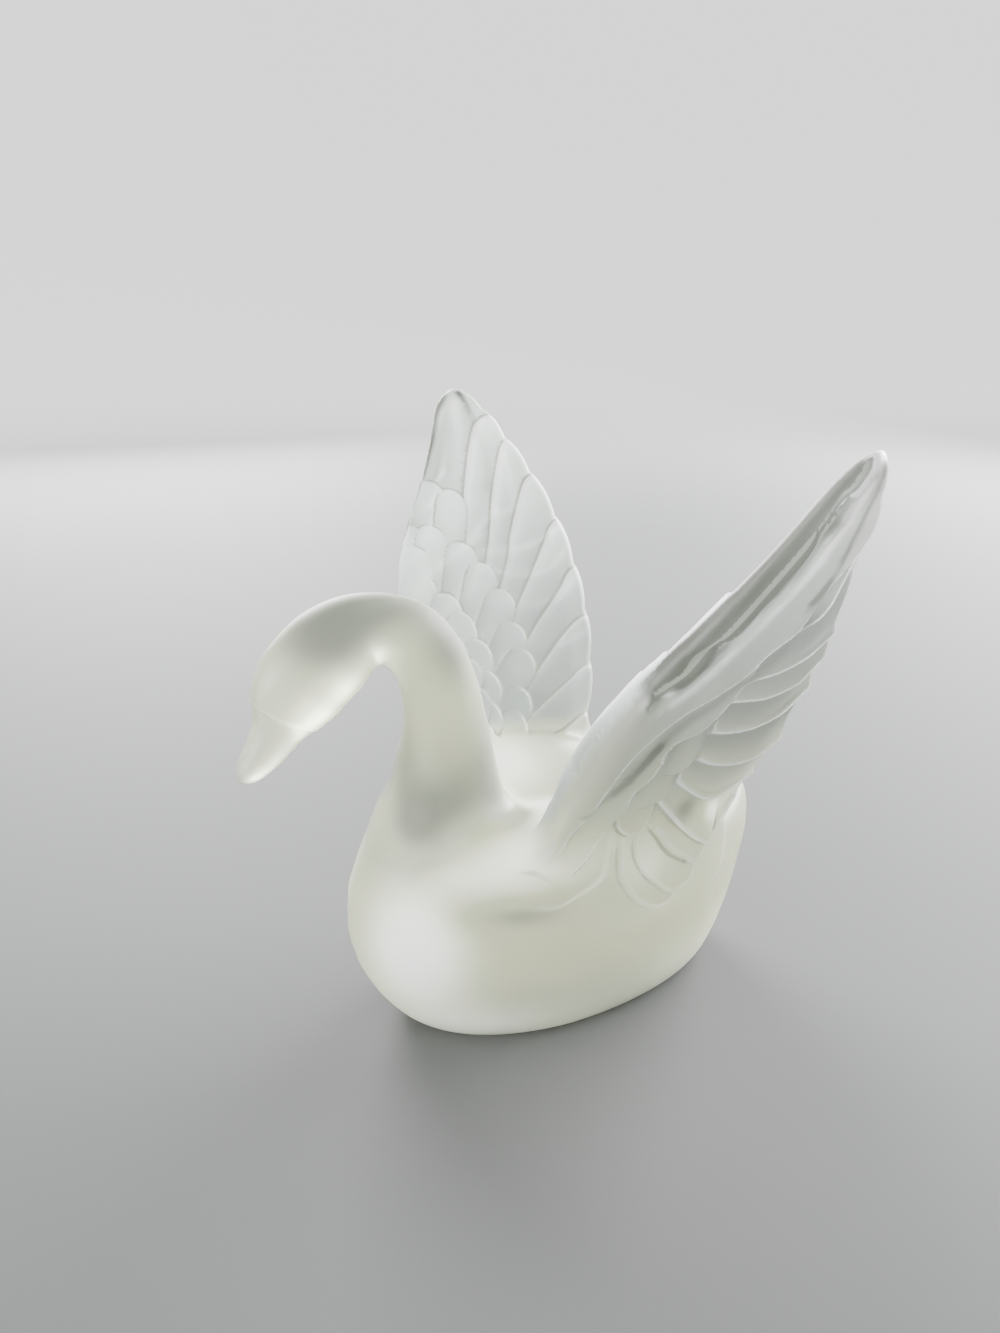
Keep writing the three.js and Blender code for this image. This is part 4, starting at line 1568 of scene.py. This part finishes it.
        # Painted highlights on the rims, faded out over a painted dark stripe.
        clear = 1.0 - board.ramp(stripes, *self.painted_rim_highlight_tones)
        rim_highlight_mask = board.ramp(bend, *self.painted_rim_highlight_bends) * self.rim_share
        layers = (
            (trough_shade_mask * strength, self.painted_trough_shade_colour),
            # Painted shade and painted highlight of each stripe.
            (board.ramp(stripes, 0.0, -1.0), self.painted_stripe_shade_colour),
            (board.ramp(stripes, 0.0, 1.0), self.painted_stripe_highlight_colour),
            (board.attribute(Mark.BODY), self.body_colour),
            # Painted shade and painted glow of the spots.
            (board.ramp(tone, 0.0, -1.0), self.painted_shade_colour),
            (board.ramp(tone, 0.0, 1.0), self.painted_glow_colour),
            # Painted shade in the creases, by how sharply the surface bends in.
            (board.ramp(bend, *self.painted_crease_shade_bends) * self.painted_crease_shade_share, self.painted_crease_shade_colour),
            (rim_highlight_mask * strength * clear, self.painted_rim_highlight_colour),
        )
        colour = wings
        for share, layer in layers:
            colour = board.mix_colour(share, colour, layer)
        return colour

    def wing_colour(self, board: Board, high: Wire, outer: Wire) -> bpy.types.NodeSocket:
        """Colour the glass of the wings, with painted light: the high outer face painted dark grey as shade
        against the pale inner face, and the low inner face painted darker as shade.

        Args:
            board: The material's nodes.
            high: 0 low on the wings, 1 high on them.
            outer: 0 on their inner face, 1 on the outer one.

        Returns:
            The colour.
        """
        inside = board.mix_colour(high, self.shaded_low_inner_colour, self.high_inner_colour)
        outside = board.mix_colour(high, self.low_wing_colour, self.shaded_high_outer_colour)
        return board.mix_colour(outer, inside, outside)

    def bump(self, board: Board, place: bpy.types.NodeSocket) -> bpy.types.NodeSocket:
        """Give the glass its satin grain, and the low flank its fine level ridges.

        Args:
            board: The material's nodes.
            place: The place on the swan.

        Returns:
            The direction that the surface faces.
        """
        grain = board.noise(place, self.grain_scale, self.grain_detail)
        stretched = board.node(
            "ShaderNodeVectorMath", {"operation": "MULTIPLY"}, {0: place, 1: self.ridge_stretch}
        ).outputs["Vector"]
        ridges = board.noise(stretched, 1.0, self.ridge_detail)
        flank = board.ramp(board.height(place), *self.ridge_heights) * self.ridge_share
        return board.node("ShaderNodeBump", inputs={
            "Height": grain + ridges * flank,
            "Strength": self.grain_strength,
            "Distance": self.grain_depth,
        }).outputs["Normal"]

    def shader(
        self, board: Board, melt: Melt, colour: bpy.types.NodeSocket, bump: bpy.types.NodeSocket
    ) -> bpy.types.NodeSocket:
        """Add the shader of one kind of glass.

        Args:
            board: The material's nodes.
            melt: The glass.
            colour: Its colour.
            bump: Its fine relief.

        Returns:
            The shader's output.
        """
        return board.node("ShaderNodeBsdfPrincipled", inputs={
            "Base Color": colour,
            "Roughness": melt.roughness,
            "Transmission Weight": melt.transmission,
            "IOR": self.ior,
            "Specular IOR Level": melt.shine,
            "Subsurface Weight": melt.milk,
            "Subsurface Radius": self.milk_radius,
            "Subsurface Scale": melt.milk_depth,
            "Normal": bump,
        }).outputs["BSDF"]


@dataclass(frozen=True)
class Light:
    """One soft lamp."""

    name: str
    place: Triple
    size: Pair
    power: float
    colour: Triple = (1.0, 1.0, 1.0)
    aim: Triple = (0.0, 0.0, 0.05)

    def add(self) -> None:
        """Put the lamp in the scene."""
        data = bpy.data.lights.new(self.name, "AREA")
        data.shape = "RECTANGLE"
        data.size, data.size_y = self.size
        data.energy = self.power
        data.color = self.colour
        lamp = bpy.data.objects.new(self.name, data)
        lamp.location = self.place
        lamp.visible_camera = False
        lamp.rotation_euler = (Vector(self.aim) - Vector(self.place)).to_track_quat("-Z", "Y").to_euler()
        bpy.context.scene.collection.objects.link(lamp)


@dataclass(frozen=True)
class Studio:
    """A round floor that sweeps up into a plain wall, soft light and the camera."""

    floor_colour: Triple = (0.05, 0.052, 0.052)
    floor_roughness: float = 0.8
    # The floor grows brighter outwards: its light far out, and the reaches between which it rises.
    glow: Triple = (1.5, 1.53, 1.5)
    glow_reach: Pair = (0.45, 1.5)
    floor_radius: float = 1.1
    sweep_radius: float = 1.2
    wall_height: float = 2.0
    sweep_steps: int = 24
    turns: int = 96
    air_colour: Triple = (0.95, 0.98, 1.0)
    air_strength: float = 0.45
    lights: tuple[Light, ...] = (
        Light("window", (-0.2, 1.0, 0.4), (1.1, 0.45), 96.0),
        Light("back", (-1.0, 0.05, 0.42), (0.6, 0.5), 54.0),
        Light("sky", (0.35, -0.35, 0.8), (0.8, 0.8), 14.0),
        Light("fill", (0.12, -0.95, 0.3), (0.6, 0.4), 14.0),
    )
    # Camera: place, heading from +Y towards -X, angle below the level, lens, sensor and nearest sight.
    camera_place: Triple = (0.1696, -0.08897, 0.1489)
    camera_heading: float = 63.774
    camera_dip: float = 19.863
    lens: float = 25.66
    sensor: float = 36.0
    nearest: float = 0.005

    def build(self) -> None:
        """Add floor, air, lamps and camera."""
        self.add_floor()
        self.add_air()
        for light in self.lights:
            light.add()
        self.add_camera()

    def add_floor(self) -> None:
        """Lay the floor with its sweep and wall as one round surface."""
        mesh = self.floor_mesh()
        mesh.shade_smooth()
        mesh.materials.append(self.floor_material())
        floor = bpy.data.objects.new("floor", mesh)
        bpy.context.scene.collection.objects.link(floor)

    def floor_mesh(self) -> bpy.types.Mesh:
        """Turn the outline of floor, sweep and wall around the middle.

        Returns:
            The floor's mesh.
        """
        outline = []
        for step in range(self.sweep_steps + 1):
            bend = math.pi / 2.0 * step / self.sweep_steps
            reach = self.floor_radius + self.sweep_radius * math.sin(bend)
            outline.append((reach, self.sweep_radius * (1.0 - math.cos(bend))))
        outline.append((self.floor_radius + self.sweep_radius, self.wall_height))
        rings = [[(r * math.cos(t), r * math.sin(t), z) for t in self.headings()] for r, z in outline]
        points = [point for ring in rings for point in ring]
        count = self.turns
        faces = [tuple(range(count))]
        for i in range(len(rings) - 1):
            for j in range(count):
                k = (j + 1) % count
                faces.append((i * count + j, (i + 1) * count + j, (i + 1) * count + k, i * count + k))
        mesh = bpy.data.meshes.new("floor")
        mesh.from_pydata(points, [], faces)
        return mesh

    def floor_material(self) -> bpy.types.Material:
        """Make the floor's finish: dull, and brighter outwards.

        Returns:
            The new material.
        """
        material = bpy.data.materials.new("floor")
        material.use_nodes = True
        board = Board(material.node_tree)
        place = board.node("ShaderNodeTexCoord").outputs["Object"]
        away = board.node("ShaderNodeVectorMath", {"operation": "LENGTH"}, {0: place}).outputs["Value"]
        share = board.ramp(Wire(board, away), *self.glow_reach)
        shader = board.node("ShaderNodeBsdfPrincipled", inputs={
            "Base Color": (*self.floor_colour, 1.0),
            "Roughness": self.floor_roughness,
            "Emission Color": board.mix_colour(share, (0.0, 0.0, 0.0), self.glow),
            "Emission Strength": 1.0,
        })
        board.node("ShaderNodeOutputMaterial", inputs={"Surface": shader.outputs["BSDF"]})
        return material

    def headings(self) -> list[float]:
        """List the directions around the floor.

        Returns:
            Angles in radians.
        """
        return [math.tau * j / self.turns for j in range(self.turns)]

    def add_air(self) -> None:
        """Fill the room with even light."""
        world = bpy.data.worlds.new("studio")
        world.use_nodes = True
        background = world.node_tree.nodes["Background"]
        background.inputs["Color"].default_value = (*self.air_colour, 1.0)
        background.inputs["Strength"].default_value = self.air_strength
        bpy.context.scene.world = world

    def add_camera(self) -> None:
        """Stand the camera at the photograph's angle."""
        data = bpy.data.cameras.new("camera")
        data.sensor_fit = "AUTO"
        data.sensor_width = self.sensor
        data.lens = self.lens
        data.clip_start = self.nearest
        camera = bpy.data.objects.new("camera", data)
        camera.location = self.camera_place
        tilt = Matrix.Rotation(math.radians(90.0 - self.camera_dip), 4, "X")
        turn = Matrix.Rotation(math.radians(self.camera_heading), 4, "Z")
        camera.rotation_euler = (turn @ tilt).to_euler()
        bpy.context.scene.collection.objects.link(camera)
        bpy.context.scene.camera = camera


@dataclass(frozen=True)
class PaintedSpot:
    """A soft spot of painted glow or painted shade on both sides, paler or darker than the rest."""

    middle: Triple
    size: Triple
    strength: float

    def tone(self, x: Array, y: Array, z: Array) -> Array:
        """Measure the painted glow or shade of the spot.

        Args:
            x: Distance from the middle plane, on either side.
            y: Place along the body.
            z: Height.

        Returns:
            The strength of the painted glow or shade at each place.
        """
        offsets = [(v - m) / half for v, m, half in zip((np.abs(x), y, z), self.middle, self.size)]
        return self.strength * np.exp(-sum(offset * offset for offset in offsets))


@dataclass(frozen=True)
class Casting:
    """The figurine's mesh, its smoothness and its finish."""

    step: float = 0.55
    quick_step: float = 0.9
    most_triangles: int = 190000
    settling: Settling = Settling()
    glass: Glass = Glass()
    # Spots of painted shade and painted glow: middle, half sizes and strength, below 0 painted shade and
    # above 0 painted glow.
    spots: tuple[PaintedSpot, ...] = (
        # Crown and nape.
        PaintedSpot((4.0, -47.0, 94.0), (14.0, 11.0, 7.0), -1.0),
        PaintedSpot((4.0, -33.0, 100.0), (10.0, 12.0, 5.0), -0.9),
        PaintedSpot((7.0, -21.0, 92.0), (12.0, 8.0, 12.0), -1.0),
        # Back, front and foot of the neck.
        PaintedSpot((8.0, -14.0, 62.0), (10.0, 7.0, 16.0), -0.7),
        PaintedSpot((0.0, -32.0, 62.0), (10.0, 4.0, 16.0), -0.5),
        PaintedSpot((12.0, -27.0, 57.0), (10.0, 11.0, 9.0), -0.9),
        PaintedSpot((9.0, -33.0, 51.0), (7.0, 6.0, 6.0), -0.5),
        # Flank before the wing's root.
        PaintedSpot((27.0, -18.5, 38.0), (9.0, 11.0, 4.0), -0.8),
        # Breast, shoulder, back and belly.
        PaintedSpot((16.0, -36.0, 27.0), (12.0, 12.0, 17.0), 1.0),
        PaintedSpot((20.0, -18.0, 46.0), (13.0, 13.0, 8.0), 0.6),
        PaintedSpot((14.0, -5.0, 51.0), (17.0, 15.0, 7.0), 0.8),
        PaintedSpot((18.0, -22.0, 6.0), (12.0, 14.0, 7.0), 0.6),
        # Joint of the neck with the back, and the bill.
        PaintedSpot((12.0, -13.0, 53.0), (6.0, 5.0, 5.0), -0.8),
        PaintedSpot((0.0, -61.0, 71.5), (7.0, 6.0, 7.0), -0.3),
        # Feathers on the flank.
        PaintedSpot((34.0, 15.5, 57.0), (5.0, 4.5, 4.5), -0.8),
        PaintedSpot((32.5, 24.0, 54.5), (3.5, 2.5, 4.0), 0.6),
        PaintedSpot((33.0, 8.5, 45.0), (6.0, 6.0, 6.0), 0.45),
    )

    def build(self) -> bpy.types.Object:
        """Sculpt the swan and put it in the scene.

        Returns:
            The swan's object.
        """
        swan = Swan()
        points, faces = SurfaceNet(self.step).build(swan.distance)
        points = self.settling.settle(points, swan.distance)
        points[:, 1] += MODEL_SHIFT_Y
        LOG.info("sculpted %d faces", len(faces))
        mesh = bpy.data.meshes.new("swan_glass")
        mesh.vertices.add(len(points))
        mesh.vertices.foreach_set("co", (points * MM).ravel())
        mesh.loops.add(faces.size)
        mesh.loops.foreach_set("vertex_index", faces.ravel())
        mesh.polygons.add(len(faces))
        mesh.polygons.foreach_set("loop_start", np.arange(0, faces.size, 4))
        mesh.update(calc_edges=True)
        mesh.validate()
        mesh.shade_smooth()
        mesh.materials.append(self.glass.material())
        piece = bpy.data.objects.new("swan_glass", mesh)
        bpy.context.scene.collection.objects.link(piece)
        self.thin_out(piece, 2 * len(faces))
        self.mark(piece.data, swan)
        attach(piece, "root")
        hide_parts("swan")
        return piece

    def mark(self, mesh: bpy.types.Mesh, swan: Swan) -> None:
        """Write down at each point what the finish needs: bends, body, relief, spots of painted shade and
        glow, and painted stripe bands.

        Args:
            mesh: The swan's mesh.
            swan: The shape it was made from.
        """
        places = np.empty(3 * len(mesh.vertices))
        mesh.vertices.foreach_get("co", places)
        x, y, z = places.reshape(-1, 3).T / MM
        y = y - MODEL_SHIFT_Y
        marks = {
            Mark.BODY: swan.body_share(x, y, z),
            Mark.BEND: swan.bend(x, y, z),
            Mark.RELIEF: swan.wing.relief(x, y, z),
            Mark.TONE: sum(spot.tone(x, y, z) for spot in self.spots),
        }
        marks[Mark.OUTER], marks[Mark.STRIPES] = swan.wing.face(x, y, z)
        for mark, values in marks.items():
            layer = mesh.attributes.new(mark.value, "FLOAT", "POINT")
            layer.data.foreach_set("value", values.astype(np.float32))

    def thin_out(self, piece: bpy.types.Object, triangles: int) -> None:
        """Leave out triangles where the surface is plain.

        Args:
            piece: The swan.
            triangles: How many triangles it has.
        """
        if triangles <= self.most_triangles:
            return
        modifier = piece.modifiers.new("thin out", "DECIMATE")
        modifier.ratio = self.most_triangles / triangles
        bpy.context.view_layer.update()
        shape = piece.evaluated_get(bpy.context.evaluated_depsgraph_get())
        lighter = bpy.data.meshes.new_from_object(shape)
        piece.modifiers.clear()
        piece.data = lighter
        lighter.shade_smooth()
        LOG.info("left %d triangles", sum(len(p.vertices) - 2 for p in lighter.polygons))


def main() -> None:
    """Build the studio and the casting."""
    logging.basicConfig(level=logging.INFO, format="%(message)s")
    studio = Studio()
    studio.build()
    LOG.info("studio: floor, camera and %d lamps", len(studio.lights))
    piece = Casting().build()
    LOG.info("%s: %d points, finish %s", piece.name, len(piece.data.vertices), piece.data.materials[0].name)


if __name__ == "__main__":
    main()
